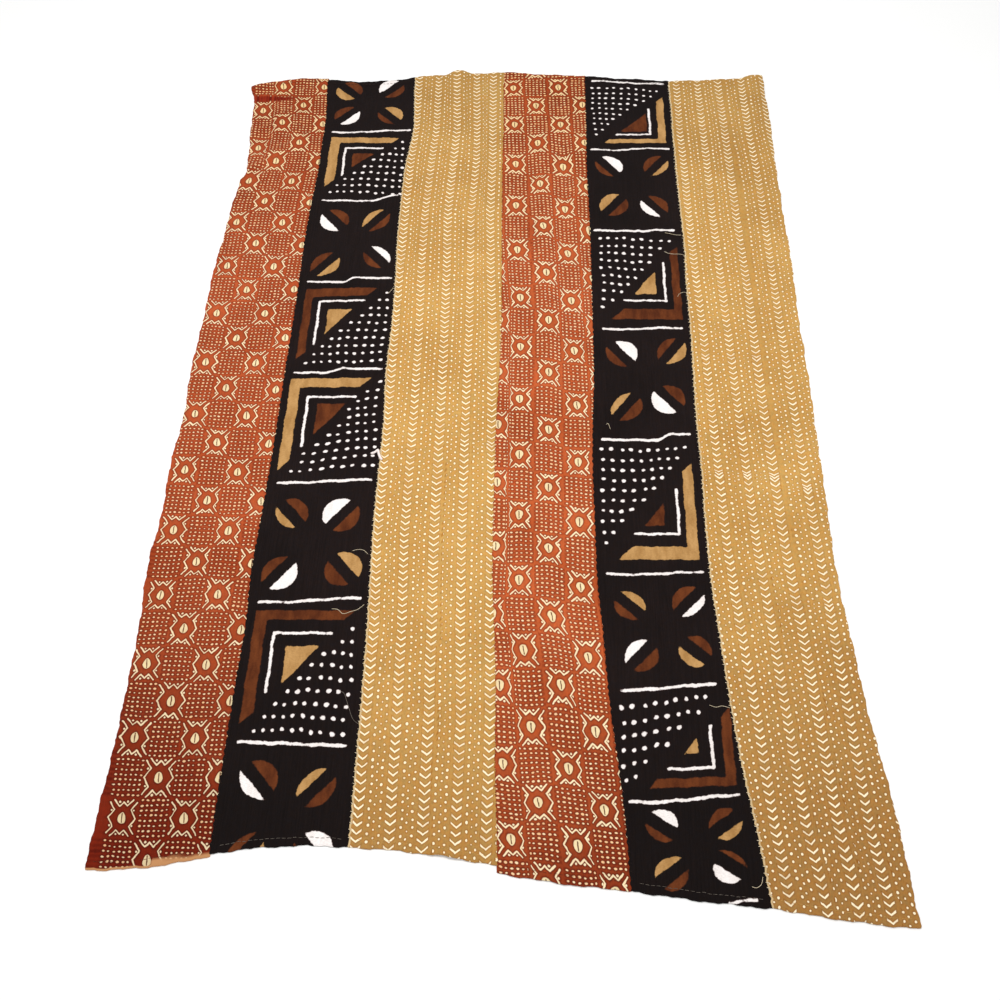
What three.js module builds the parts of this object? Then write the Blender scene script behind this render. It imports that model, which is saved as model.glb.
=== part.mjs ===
// A mud cloth: six handwoven cotton strips, two rust, two black and two gold, sewn side by
// side and hemmed at both ends, lying flat with its soft folds.
// Millimetres, +Z up. X runs across the strips and Y along them. The origin is under the
// middle of the cloth's outline, at the height of the floor.
import * as THREE from 'three';

// Driving dimensions
const clothThickness = 1.6; // handwoven cotton with its layers of mud and dye
const hemDepth = 13; // the turned end of a strip, sewn down
const hemRise = 0.9; // what the second layer adds once it is pressed
const hemShoulder = 4; // how far the cloth takes to come down from a hem
const seamGap = 0.3; // between the edges of two strips
const cellLength = 33; // a face's length along a strip
const rollingHeight = 1.3; // the low unevenness of cloth that lies loose
const fadeLength = 70; // a fold rises from nothing over this length

// Where the side edges and the seams run. A row for each section across the cloth, from
// its far end to its near end.
const seamColumns = ['y', 'leftEdge', 'seamA', 'seamB', 'seamC', 'seamD', 'seamE', 'rightEdge'];
const seamTable = [
  [890, -590, -418, -229, -22, 160, 345, 561],
  [700, -588, -417, -228, -21, 160, 344, 559],
  [360, -587, -415, -227, -19, 159, 341, 555],
  [0, -589, -413, -225, -17, 159, 339, 554],
  [-320, -589, -411, -220, -19, 162, 343, 551],
  [-560, -586, -410, -216, -9, 167, 351, 562],
  [-720, -587, -409, -215, -4, 177, 364, 578],
  [-890, -590, -409, -215, 1, 190, 387, 590],
];

// How far the left edge is drawn in beside the pleat, from the far corner downwards.
const drawnInColumns = ['y', 'inset'];
const drawnInTable = [
  [825, 0],
  [790, 10],
  [700, 15],
  [556, 25],
  [536, 14],
  [450, 5],
  [330, 0],
];

// The strips from left to right. far and near give the Y of a strip's end at its left and
// right corner, and bow is how far the middle of that end stands out beyond them.
const strips = [
  { name: 'strip_rust_left', left: 'leftEdge', right: 'seamA', cells: 7, dye: 'rust',
    far: [825, 857], farBow: 8, near: [-838, -815], nearBow: 6 },
  { name: 'strip_black_left', left: 'seamA', right: 'seamB', cells: 7, dye: 'black',
    far: [854, 867], farBow: -10, near: [-813, -799], nearBow: -6 },
  { name: 'strip_gold_left', left: 'seamB', right: 'seamC', cells: 8, dye: 'gold',
    far: [868, 887], farBow: 2, near: [-799, -820], nearBow: -4 },
  { name: 'strip_rust_right', left: 'seamC', right: 'seamD', cells: 7, dye: 'rust',
    far: [890, 881], farBow: -3, near: [-829, -849], nearBow: 3 },
  { name: 'strip_black_right', left: 'seamD', right: 'seamE', cells: 7, dye: 'black',
    far: [880, 867], farBow: -2, near: [-849, -868], nearBow: 2 },
  { name: 'strip_gold_right', left: 'seamE', right: 'rightEdge', cells: 8, dye: 'gold',
    far: [866, 884], farBow: -1, near: [-867, -890], nearBow: 3 },
];

// The folds that stand up from the floor. A row for each: its crest from one point to
// another, its height at both, and its width to the left and the right of that way.
const foldColumns = ['name', 'x0', 'y0', 'x1', 'y1', 'rise0', 'rise1', 'leftWidth', 'rightWidth'];
const foldTable = [
  ['pleat', -655, 482, -455, 655, 10, 3, 52, 15],
  ['cloth above the pleat', -650, 655, -430, 735, 3.5, 2, 48, 40],
  ['far left corner', -660, 812, -430, 862, 5, 2, 30, 22],
  ['wave at the end of the left gold strip', -131, 990, -122, 560, 13, 3, 34, 30],
  ['second wave of the left gold strip', -78, 880, -66, 240, 2, 5, 30, 26],
  ['long wave of the left gold strip', -176, 760, -158, -60, 3, 3, 30, 34],
  ['near end of the left gold strip', -62, -930, -96, -520, 5, 2, 46, 40],
  ['rust strip beside its seam', 32, 40, 24, -420, 4, 4, 26, 22],
  ['far right corner', 545, 980, 512, 620, 9, 2, 48, 40],
  ['wave of the right gold strip', 428, 830, 452, 150, 3, 4, 34, 40],
  ['right edge, far', 640, 470, 500, 540, 6, 3, 34, 30],
  ['right edge, middle', 640, 96, 486, 152, 6, 3, 34, 30],
  ['right edge, near', 640, -395, 480, -350, 5, 3, 32, 34],
  ['pinch in the right gold strip', 340, -170, 460, -186, 3, 3, 30, 24],
  ['left edge, near', -650, -350, -520, -300, 4, 2, 34, 30],
];

// The cotton of each colour of strip.
const dyes = {
  rust: { color: '#b4502b', roughness: 0.93, metalness: 0 },
  black: { color: '#221c1a', roughness: 0.9, metalness: 0 },
  gold: { color: '#d3a052', roughness: 0.93, metalness: 0 },
};

// A table's rows as objects, so that each value is read by its column's name.
function namedRows(columns, table) {
  return table.map((row) => Object.fromEntries(columns.map((column, k) => [column, row[k]])));
}

const seamRows = namedRows(seamColumns, seamTable);
const drawnInRows = namedRows(drawnInColumns, drawnInTable);
const folds = namedRows(foldColumns, foldTable);

function mix(a, b, t) {
  return a + (b - a) * t;
}

function smooth(t) {
  const c = Math.min(1, Math.max(0, t));
  return c * c * (3 - 2 * c);
}

// The slope of a line at row k, through the rows beside it.
function slopeAt(line, k) {
  const above = seamRows[Math.max(0, k - 1)];
  const below = seamRows[Math.min(seamRows.length - 1, k + 1)];
  return (above[line] - below[line]) / (above.y - below.y);
}

// The X of a side edge or seam at a place along the cloth: a smooth curve through the
// rows of the table.
function lineX(line, y) {
  const last = seamRows.length - 2;
  let k = 0;
  while (k < last && y < seamRows[k + 1].y) k += 1;
  const [a, b] = [seamRows[k], seamRows[k + 1]];
  const length = b.y - a.y;
  const t = (y - a.y) / length;
  const t2 = t * t;
  const t3 = t2 * t;
  return (2 * t3 - 3 * t2 + 1) * a[line] + (t3 - 2 * t2 + t) * length * slopeAt(line, k)
    + (3 * t2 - 2 * t3) * b[line] + (t3 - t2) * length * slopeAt(line, k + 1);
}

function drawnIn(y) {
  if (y >= drawnInRows[0].y || y <= drawnInRows.at(-1).y) return 0;
  const k = drawnInRows.findIndex((row) => y > row.y);
  const [above, below] = [drawnInRows[k - 1], drawnInRows[k]];
  return mix(above.inset, below.inset, (above.y - y) / (above.y - below.y));
}

// The height of one fold over a point: a soft ridge along its crest, which rises from
// nothing at both ends.
function foldHeight(fold, x, y) {
  const [dx, dy] = [fold.x1 - fold.x0, fold.y1 - fold.y0];
  const length = Math.hypot(dx, dy);
  const along = ((x - fold.x0) * dx + (y - fold.y0) * dy) / length;
  const across = ((y - fold.y0) * dx - (x - fold.x0) * dy) / length;
  const width = across > 0 ? fold.leftWidth : fold.rightWidth;
  if (along <= 0 || along >= length || Math.abs(across) >= width) return 0;
  const ends = smooth(along / fadeLength) * smooth((length - along) / fadeLength);
  const crest = (1 + Math.cos(Math.PI * across / width)) / 2;
  return mix(fold.rise0, fold.rise1, along / length) * ends * crest;
}

// Low swells where the cloth doesn't quite touch the floor. Between them it lies flat.
function rolling(x, y) {
  const swell = Math.sin(x / 61 + y / 290) * Math.sin(y / 118 - x / 410)
    + 0.6 * Math.sin(x / 37 - y / 205 + 1.3) * Math.sin(y / 83 + 0.7);
  return rollingHeight * Math.max(0, swell - 0.35);
}

function lift(x, y) {
  return folds.reduce((sum, fold) => sum + foldHeight(fold, x, y), rolling(x, y));
}

// Where along a strip its rows of faces lie, from 0 at the near end to 1 at the far end:
// an even grid, with rows at the foot and at the shoulder of each hem.
function rowPlaces(length) {
  const foot = hemDepth / length;
  const shoulder = (hemDepth + hemShoulder) / length;
  const count = Math.round((1 - 2 * shoulder) * length / cellLength);
  const middle = Array.from({ length: count + 1 }, (_, j) => mix(shoulder, 1 - shoulder, j / count));
  return [0, foot, ...middle, 1 - foot, 1];
}

// A point of a strip's outline grid: s runs across it and t along it.
function stripPoint(strip, s, t) {
  const bow = 4 * s * (1 - s);
  const nearY = mix(strip.near[0], strip.near[1], s) - strip.nearBow * bow;
  const farY = mix(strip.far[0], strip.far[1], s) + strip.farBow * bow;
  const y = mix(nearY, farY, t);
  const leftEdge = strip.left === 'leftEdge';
  const x0 = lineX(strip.left, y) + (leftEdge ? drawnIn(y) : seamGap / 2);
  const x1 = lineX(strip.right, y) - (strip.right === 'rightEdge' ? 0 : seamGap / 2);
  return [mix(x0, x1, s), y];
}

// A strip as a closed sheet: its underside follows the folds and lies on the floor between
// them, and its top stands the cloth's thickness over that.
function stripGeometry(strip) {
  const length = strip.far[0] - strip.near[0];
  const places = rowPlaces(length);
  const across = strip.cells + 1;
  const rows = places.length;
  const under = [];
  const over = [];
  places.forEach((t, j) => {
    const hemmed = j < 2 || j >= rows - 2;
    for (let i = 0; i < across; i += 1) {
      const [x, y] = stripPoint(strip, i / strip.cells, t);
      const z = lift(x, y);
      under.push(x, y, z);
      over.push(x, y, z + clothThickness + (hemmed ? hemRise : 0));
    }
  });

  const layer = across * rows;
  const index = [];
  const quad = (a, b, c, d) => index.push(a, b, c, a, c, d);
  for (let j = 0; j < rows - 1; j += 1) {
    for (let i = 0; i < strip.cells; i += 1) {
      const a = j * across + i;
      quad(a, a + across, a + across + 1, a + 1);
      quad(layer + a, layer + a + 1, layer + a + across + 1, layer + a + across);
    }
  }
  // The rim, followed anticlockwise seen from above
  const rim = [];
  for (let i = 0; i < strip.cells; i += 1) rim.push(i);
  for (let j = 0; j < rows - 1; j += 1) rim.push(j * across + strip.cells);
  for (let i = strip.cells; i > 0; i -= 1) rim.push((rows - 1) * across + i);
  for (let j = rows - 1; j > 0; j -= 1) rim.push(j * across);
  rim.forEach((a, k) => {
    const b = rim[(k + 1) % rim.length];
    quad(a, b, layer + b, layer + a);
  });

  const geometry = new THREE.BufferGeometry();
  geometry.setAttribute('position', new THREE.Float32BufferAttribute([...under, ...over], 3));
  geometry.setIndex(index);
  geometry.computeVertexNormals();
  return geometry;
}

const cloth = new THREE.Group();
for (const strip of strips) {
  const mesh = new THREE.Mesh(stripGeometry(strip), new THREE.MeshStandardMaterial(dyes[strip.dye]));
  mesh.name = strip.name;
  cloth.add(mesh);
}

export default cloth;
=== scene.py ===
"""A mud cloth laid out flat: six handwoven cotton strips with painted patterns, sewn edge over
edge and hemmed at both ends.

Lengths in the tables are millimetres in the part's own frame: X across the strips, Y along
them towards the far hems, Z up from the floor. The meshes are made in metres.
"""
import math
from functools import partial
from itertools import chain

import bpy
import numpy as np
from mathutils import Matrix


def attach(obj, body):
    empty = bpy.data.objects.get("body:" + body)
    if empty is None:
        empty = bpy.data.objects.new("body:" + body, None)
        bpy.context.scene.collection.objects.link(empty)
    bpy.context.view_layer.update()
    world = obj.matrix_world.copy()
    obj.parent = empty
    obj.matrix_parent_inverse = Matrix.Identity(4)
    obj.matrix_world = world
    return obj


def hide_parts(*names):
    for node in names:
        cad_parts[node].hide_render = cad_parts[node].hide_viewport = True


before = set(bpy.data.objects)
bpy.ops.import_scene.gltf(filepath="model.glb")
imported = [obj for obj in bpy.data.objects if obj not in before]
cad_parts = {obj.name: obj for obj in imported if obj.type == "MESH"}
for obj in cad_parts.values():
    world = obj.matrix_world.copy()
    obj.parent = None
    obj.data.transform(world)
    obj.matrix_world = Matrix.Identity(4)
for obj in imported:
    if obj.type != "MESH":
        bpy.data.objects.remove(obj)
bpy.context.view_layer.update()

MM = 0.001
rng = np.random.default_rng(7)

# Camera and light

CAMERA_PLACE = (0.00835, -1.0631, 1.50)
CAMERA_TURN = (29.33, 0.0, 1.263)  # degrees: it looks down at 60.67 degrees below level
LENS = 36.0  # millimetres, as the sensor
SENSOR = 36.0
ROOM_LIGHT = 0.75
FLOOR_SIZE = 24.0
FLOOR_DROP = 0.0003  # the floor lies a hair under the cloth


def hex_linear(text):
    """The linear colour of an sRGB hex value."""
    srgb = np.array([int(text[k:k + 2], 16) for k in (1, 3, 5)]) / 255
    linear = np.where(srgb <= 0.04045, srgb / 12.92, ((srgb + 0.055) / 1.055) ** 2.4)
    return (*linear, 1.0)


def link(name, data):
    """A new object at the origin for a mesh, a light or a camera."""
    made = bpy.data.objects.new(name, data)
    bpy.context.scene.collection.objects.link(made)
    return made


lens = bpy.data.cameras.new("camera")
lens.lens = LENS
lens.sensor_width = SENSOR
camera = link("camera", lens)
camera.location = CAMERA_PLACE
camera.rotation_euler = [math.radians(turn) for turn in CAMERA_TURN]
bpy.context.scene.camera = camera
bpy.context.scene.view_settings.view_transform = "Standard"


def softbox(name, place, aim, size, power):
    """A square area light at place, facing aim."""
    lamp = bpy.data.lights.new(name, "AREA")
    lamp.size = size
    lamp.energy = power
    made = link(name, lamp)
    made.location = place
    away = np.array(place) - np.array(aim)
    level = math.hypot(away[0], away[1])
    made.rotation_euler = (math.atan2(level, away[2]), 0, math.atan2(away[1], away[0]) + math.pi / 2)


softbox("key_softbox", (-0.3, 0.05, 2.25), (0.0, 0.0, 0.0), 0.55, 25)
softbox("fill_softbox", (0.9, 0.1, 3.4), (0.0, 0.0, 0.0), 2.4, 9)
world = bpy.data.worlds.new("soft_room")
world.use_nodes = True
room = world.node_tree.nodes["Background"]
room.inputs["Color"].default_value = (1.0, 1.0, 1.0, 1.0)
room.inputs["Strength"].default_value = ROOM_LIGHT
bpy.context.scene.world = world

# The cloth's lines, as in the part's source

THICKNESS = 1.6
HEM_DEPTH = 13.0
HEM_RISE = 0.9
HEM_SHOULDER = 4.0
SEAM_GAP = 0.3
ROLLING = 1.3
FADE = 70.0

LINE_COLUMNS = ("y", "left_edge", "seam_a", "seam_b", "seam_c", "seam_d", "seam_e", "right_edge")
SEAM_TABLE = (
    (890, -590, -418, -229, -22, 160, 345, 561),
    (700, -588, -417, -228, -21, 160, 344, 559),
    (360, -587, -415, -227, -19, 159, 341, 555),
    (0, -589, -413, -225, -17, 159, 339, 554),
    (-320, -589, -411, -220, -19, 162, 343, 551),
    (-560, -586, -410, -216, -9, 167, 351, 562),
    (-720, -587, -409, -215, -4, 177, 364, 578),
    (-890, -590, -409, -215, 1, 190, 387, 590),
)

# How far the sewn lines waver from the part's own, which run straighter, in the same columns
SWAY_TABLE = (
    (890, -2, -1, 5, -4, -2, 0, -3),
    (820, -2, 0, 6, -5, -2, 0, -3),
    (760, 0, 5, 9, -4, -2, 1, 0),
    (700, 0, 7, 11, -3, -2, 0, 0),
    (640, 0, 6, 6, -4, -3, 1, -1),
    (580, 1, 7, 0, -4, -3, 1, -1),
    (460, 2, 2, -2, -3, 0, 4, 0),
    (370, 3, 0, -2, -2, 1, 6, 3),
    (280, -1, 1, 1, -1, 1, 4, 2),
    (160, 0, 1, 2, 0, 1, 5, -1),
    (40, -2, 0, -1, -2, 0, 3, 1),
    (-60, 3, 0, 2, -5, -5, 1, 0),
    (-160, -2, -1, 0, -4, -8, 1, 1),
    (-260, 1, -3, -2, -3, -8, -2, 0),
    (-370, -4, -6, -1, -3, -8, -3, -2),
    (-460, 1, -2, 0, -2, -3, 0, 1),
    (-560, 1, -4, 0, -2, 0, 2, 1),
    (-680, 1, -5, 0, -4, 5, 4, 2),
    (-760, -1, -5, 0, -2, 6, 6, 2),
    (-890, 0, -1, 0, 0, 1, 1, 0),
)

# How far the left edge is drawn in beside the pleat
DRAWN_IN_COLUMNS = ("y", "inset")
DRAWN_IN_TABLE = ((825, 0), (790, 10), (700, 15), (556, 25), (536, 14), (450, 5), (330, 0))

# far and near give the Y of a strip's end at its left and right corner, and bow is how far
# the middle of that end stands out beyond them. A seam's edge lies over the next strip's
# edge or under it. cell is the spacing of the sheet's own grid.
STRIP_COLUMNS = (
    "name", "left", "right", "left_lies", "right_lies", "far_left", "far_right", "far_bow",
    "near_left", "near_right", "near_bow", "cell",
)
STRIP_TABLE = (
    ("strip_rust_left", "left_edge", "seam_a", "free", "under", 825, 857, 8, -838, -815, 6, 4.6),
    ("strip_black_left", "seam_a", "seam_b", "over", "under", 854, 867, -10, -813, -799, -6, 2.7),
    ("strip_gold_left", "seam_b", "seam_c", "over", "over", 868, 887, 2, -799, -820, -4, 4.6),
    ("strip_rust_right", "seam_c", "seam_d", "under", "under", 890, 881, -3, -829, -849, 3, 4.6),
    ("strip_black_right", "seam_d", "seam_e", "over", "under", 880, 867, -2, -849, -868, 2, 2.7),
    ("strip_gold_right", "seam_e", "right_edge", "over", "free", 866, 884, -1, -867, -890, 3, 4.6),
)

# The folds of the part's solids. A row for each: its crest from one point to another, its
# height at both, and its width to the left and the right of that way.
FOLD_COLUMNS = ("x0", "y0", "x1", "y1", "rise0", "rise1", "left_width", "right_width")
FOLD_TABLE = (
    (-655, 482, -455, 655, 10, 3, 52, 15),  # pleat
    (-650, 655, -430, 735, 3.5, 2, 48, 40),  # cloth above the pleat
    (-660, 812, -430, 862, 5, 2, 30, 22),  # far left corner
    (-131, 990, -122, 560, 13, 3, 34, 30),  # wave at the end of the left gold strip
    (-78, 880, -66, 240, 2, 5, 30, 26),  # second wave of the left gold strip
    (-176, 760, -158, -60, 3, 3, 30, 34),  # long wave of the left gold strip
    (-62, -930, -96, -520, 5, 2, 46, 40),  # near end of the left gold strip
    (32, 40, 24, -420, 4, 4, 26, 22),  # rust strip beside its seam
    (545, 980, 512, 620, 9, 2, 48, 40),  # far right corner
    (428, 830, 452, 150, 3, 4, 34, 40),  # wave of the right gold strip
    (640, 470, 500, 540, 6, 3, 34, 30),  # right edge, far
    (640, 96, 486, 152, 6, 3, 34, 30),  # right edge, middle
    (640, -395, 480, -350, 5, 3, 32, 34),  # right edge, near
    (340, -170, 460, -186, 3, 3, 30, 24),  # pinch in the right gold strip
    (-650, -350, -520, -300, 4, 2, 34, 30),  # left edge, near
)
# Small creases in the same columns, which only this finer sheet has
CREASE_TABLE = (
    (-316, 500, -308, 20, 1.0, 0.8, 7, 5),  # where the left black strip lay folded
    (-321, -150, -319, -440, 0.7, 0.7, 6, 6),
    (250, 880, 260, 120, 0.9, 1.1, 6, 8),  # where the right black strip lay folded
    (262, 150, 252, -360, 1.2, 0.7, 8, 6),
    (250, -330, 266, -730, 0.6, 0.8, 6, 6),
    (-228, 640, -282, 480, 1.6, 1.0, 12, 8),  # wrinkle by the second seam
    (-117, -140, -119, -270, 1.0, 1.0, 4, 3),
    (-107, -620, -101, -745, 1.1, 1.0, 5, 4),
    (-220, -66, -40, -62, 0.7, 0.9, 5, 3),
    (-62, 52, -22, 98, 1.0, 0.8, 6, 4),
    (4, 30, 2, -360, 1.5, 1.5, 3, 10),  # the fold's foot beside the third seam
    (340, -158, 478, -166, 1.4, 1.2, 6, 5),  # pinches that close up the chevrons
    (500, -184, 560, -190, 1.3, 1.3, 6, 5),
    (470, 303, 560, 296, 1.0, 1.4, 8, 4),
    (480, 122, 560, 116, 1.0, 1.5, 8, 5),
    (512, -402, 565, -412, 1.0, 1.3, 6, 5),
    (-44, -98, -22, -122, 1.2, 1.2, 7, 7),
    (492, -752, 522, -766, 0.8, 0.8, 3, 3),
    (-596, -372, -540, -386, 1.4, 0.6, 8, 8),
    (-596, -742, -530, -738, 1.4, 0.6, 10, 8),
    (-592, 330, -545, 322, 1.2, 0.6, 7, 8),
)
CREASE_FADE = 22.0


def named(columns, table):
    """A table as one array for each column, by the column's name."""
    return {name: np.array([row[k] for row in table]) for k, name in enumerate(columns)}


seams = named(LINE_COLUMNS, SEAM_TABLE)
sways = named(LINE_COLUMNS, SWAY_TABLE)
drawn_in = named(DRAWN_IN_COLUMNS, DRAWN_IN_TABLE)
strips = [dict(zip(STRIP_COLUMNS, row)) for row in STRIP_TABLE]


def mix(a, b, t):
    """The value from a to b at the share t."""
    return a + (b - a) * t


def smooth(t):
    """An even step from 0 to 1 while t goes from 0 to 1, level at both ends."""
    c = np.clip(t, 0, 1)
    return c * c * (3 - 2 * c)


def through(table, line, y):
    """One of a table's lines at Y: a cubic through the table's rows, whose slope at a row is
    that of the straight line between the rows before and after it."""
    ys, xs = table["y"].astype(float), table[line].astype(float)
    rows = np.arange(len(ys))
    before, after = np.maximum(rows - 1, 0), np.minimum(rows + 1, len(ys) - 1)
    slope = (xs[before] - xs[after]) / (ys[before] - ys[after])
    k = np.clip(np.searchsorted(-ys, -y, side="right") - 1, 0, len(ys) - 2)
    length = ys[k + 1] - ys[k]
    t = (y - ys[k]) / length
    return (
        (2 * t**3 - 3 * t**2 + 1) * xs[k] + (t**3 - 2 * t**2 + t) * length * slope[k]
        + (3 * t**2 - 2 * t**3) * xs[k + 1] + (t**3 - t**2) * length * slope[k + 1]
    )


def line_x(line, y):
    """The X of a side edge or seam at Y."""
    return through(seams, line, y) + through(sways, line, y)


def inset_at(y):
    """How far the left edge is drawn in at Y: straight between the table's rows."""
    return np.interp(y, drawn_in["y"][::-1], drawn_in["inset"][::-1], left=0, right=0)


def ridges(table, fade, x, y):
    """The height of all of a table's folds over points: each is half a cosine wave across its
    crest, with its own width to either side, and rises from nothing over fade at both ends."""
    height = np.zeros_like(x)
    for row in table:
        fold = dict(zip(FOLD_COLUMNS, row))
        dx, dy = fold["x1"] - fold["x0"], fold["y1"] - fold["y0"]
        length = math.hypot(dx, dy)
        along = ((x - fold["x0"]) * dx + (y - fold["y0"]) * dy) / length
        across = ((y - fold["y0"]) * dx - (x - fold["x0"]) * dy) / length
        width = np.where(across > 0, fold["left_width"], fold["right_width"])
        inside = (along > 0) & (along < length) & (np.abs(across) < width)
        ends = smooth(along / fade) * smooth((length - along) / fade)
        crest = (1 + np.cos(np.pi * np.clip(across / width, -1, 1))) / 2
        height += inside * mix(fold["rise0"], fold["rise1"], along / length) * ends * crest
    return height


def rolling(x, y):
    """Low swells where the cloth doesn't quite touch the floor: the product of sine waves
    across and along it, cut off below."""
    swell = (
        np.sin(x / 61 + y / 290) * np.sin(y / 118 - x / 410)
        + 0.6 * np.sin(x / 37 - y / 205 + 1.3) * np.sin(y / 83 + 0.7)
    )
    return ROLLING * np.maximum(0, swell - 0.35)


def puckers(x, y):
    """The slight unevenness of handwoven cloth: two crossed ripples a few centimetres long
    and half a millimetre high."""
    fine = np.sin(x / 9.5 + 1.7 * np.sin(y / 47)) * np.sin(y / 19 + 1.3 * np.sin(x / 31))
    return 0.22 * (1 + fine) * (0.6 + 0.4 * np.sin(x / 83 + y / 61))


def lift(x, y):
    """How high the cloth's underside is off the floor."""
    return ridges(FOLD_TABLE, FADE, x, y) + rolling(x, y)


def crumple(x, y):
    """The small relief of the cloth's face."""
    return ridges(CREASE_TABLE, CREASE_FADE, x, y) + puckers(x, y)


def wander(y, seed, waves):
    """A wavering line along Y: sines of the given (length, height) at phases set by seed."""
    return sum(
        height * np.sin(2 * np.pi * y / length + seed * (k + 1) * 2.4)
        for k, (length, height) in enumerate(waves)
    )


# How the edges waver: the length of each wave and its height
FREE_EDGE_WAVES = ((67, 0.7), (31, 0.6), (14, 0.4), (9, 0.25))
SEWN_EDGE_WAVES = ((43, 0.4), (13.7, 0.8), (9.6, 0.5))
NEAR_HEM_WAVES = ((71, 0.8), (29, 0.6), (12, 0.3))
FAR_HEM_WAVES = ((83, 1.0), (33, 0.7), (13, 0.3))

# The sheets

EDGE_STEPS = (0.0, 0.8, 1.9, 3.2)  # closer rows of points beside an edge
EDGE_ROUND = 1.4  # an edge is rounded over this width,
EDGE_BLEND = 2.2  # and what its seam does to it fades out over this much more
EDGE_DROP = 0.45  # how far the rounding takes the face down
FREE_EDGE_INSET = 1.5
OVERLAP = 1.3  # how far a strip's edge lies on its neighbour's
THINNED = 0.35  # how much thinner that edge is
PRESSED = 0.8  # thickness left where another edge lies on it
CLEARANCE = 0.15
CALM_EDGE = 6.0  # the face's small relief fades out over this width
HEM_CREASE_DEPTH = 0.5  # the line of running stitches draws the cloth down
HEM_CREASE_WIDTH = 1.6
STITCH_LINE = HEM_DEPTH - 1.5  # how far from a strip's end that line lies
END_DROP = 0.8  # how far the cloth's end is rounded down,
END_ROUND = 1.8  # and over what length


def grid_places(length, cell):
    """Places from 0 to 1 along a length: close together at both ends and evenly between."""
    inner = np.linspace(EDGE_STEPS[-1], length - EDGE_STEPS[-1], round(length / cell))[1:-1]
    edge = np.array(EDGE_STEPS)
    return np.concatenate([edge, inner, (length - edge)[::-1]]) / length


def edge_shape(lies, distance):
    """What the way an edge lies does to the sheet, by distance from it: (how far the
    underside is raised, the thickness)."""
    near = 1 - smooth((distance - EDGE_ROUND) / EDGE_BLEND)
    rounding = EDGE_DROP * (1 - smooth(distance / EDGE_ROUND))
    if lies == "over":
        return (PRESSED + CLEARANCE) * near, THICKNESS - THINNED * near - rounding
    if lies == "under":
        return 0 * distance, THICKNESS - (THICKNESS - PRESSED) * near
    return 0 * distance, THICKNESS - rounding


def strip_surface(strip):
    """A strip's top and underside as grids of points. s runs across it and t along it: Y goes
    from the near hem's bowed line to the far one's, and X from the left line to the right
    one. The underside is the height of the folds and the top is the thickness above it, plus
    the second layer of each hem."""
    width = abs(line_x(strip["right"], 0.0) - line_x(strip["left"], 0.0))
    length = float(strip["far_left"] - strip["near_left"])
    s = grid_places(width, strip["cell"])[None, :]
    t = grid_places(length, strip["cell"])[:, None]
    bow = 4 * s * (1 - s)
    near_y = mix(strip["near_left"], strip["near_right"], s) - strip["near_bow"] * bow
    far_y = mix(strip["far_left"], strip["far_right"], s) + strip["far_bow"] * bow
    near_y = near_y + wander(s * width, 1.1, NEAR_HEM_WAVES)
    far_y = far_y + wander(s * width, 2.3, FAR_HEM_WAVES)
    y = mix(near_y, far_y, t)
    edges = {}
    for side, sign in (("left", 1), ("right", -1)):
        lies, line = strip[side + "_lies"], strip[side]
        x = line_x(line, y)
        if lies == "free":
            x = x + sign * (FREE_EDGE_INSET + wander(y, 1 + sign, FREE_EDGE_WAVES))
            x = x + (inset_at(y) if side == "left" else 0)
        elif lies == "over":
            x = x - sign * (OVERLAP + wander(y, width, SEWN_EDGE_WAVES))
        else:
            x = x + sign * SEAM_GAP / 2
        edges[side] = x
    x = mix(edges["left"], edges["right"], s)
    from_left, from_right = x - edges["left"], edges["right"] - x
    from_end = np.minimum(y - near_y, far_y - y)
    left_raise, left_thick = edge_shape(strip["left_lies"], from_left)
    right_raise, right_thick = edge_shape(strip["right_lies"], from_right)
    thick = np.minimum(left_thick, right_thick)
    hem = HEM_RISE * (1 - smooth((from_end - HEM_DEPTH) / HEM_SHOULDER))
    crease = HEM_CREASE_DEPTH * np.exp(-((from_end - STITCH_LINE) / HEM_CREASE_WIDTH) ** 2)
    end_round = END_DROP * (1 - smooth(from_end / END_ROUND))
    inward = smooth(np.minimum(from_left, from_right) / CALM_EDGE)
    under = lift(x, y) + left_raise + right_raise
    over = under + thick + hem - crease - end_round + crumple(x, y) * inward
    return {
        "x": x, "y": y, "under": under, "over": over, "from_left": from_left,
        "from_right": from_right, "from_end": from_end,
    }


def quad_mesh(name, points, quads):
    """A smooth mesh from arrays: points in millimetres and each face's four point numbers."""
    mesh = bpy.data.meshes.new(name)
    mesh.vertices.add(len(points))
    mesh.vertices.foreach_set("co", (points * MM).astype(np.float32).ravel())
    mesh.loops.add(quads.size)
    mesh.loops.foreach_set("vertex_index", quads.astype(np.int32).ravel())
    mesh.polygons.add(len(quads))
    mesh.polygons.foreach_set("loop_start", np.arange(0, quads.size, 4, dtype=np.int32))
    mesh.polygons.foreach_set("use_smooth", np.ones(len(quads), dtype=bool))
    mesh.update(calc_edges=True)
    return mesh


# The baked square runs from 0 to 1 both ways
BAKE_LANES = 3  # a long strip is baked in this many lanes side by side
BAKE_SHARE = 0.93  # the part of the square's width that the top takes
BAKE_INSET = 0.005  # kept free at each end of a lane
LANE_INSET = 0.01  # kept free at each side of a lane, as a share of its width
BACK_END = 0.985  # the underside ends here
RIM_START = 0.993  # and the rim lies from here to there
RIM_END = 0.997


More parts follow.
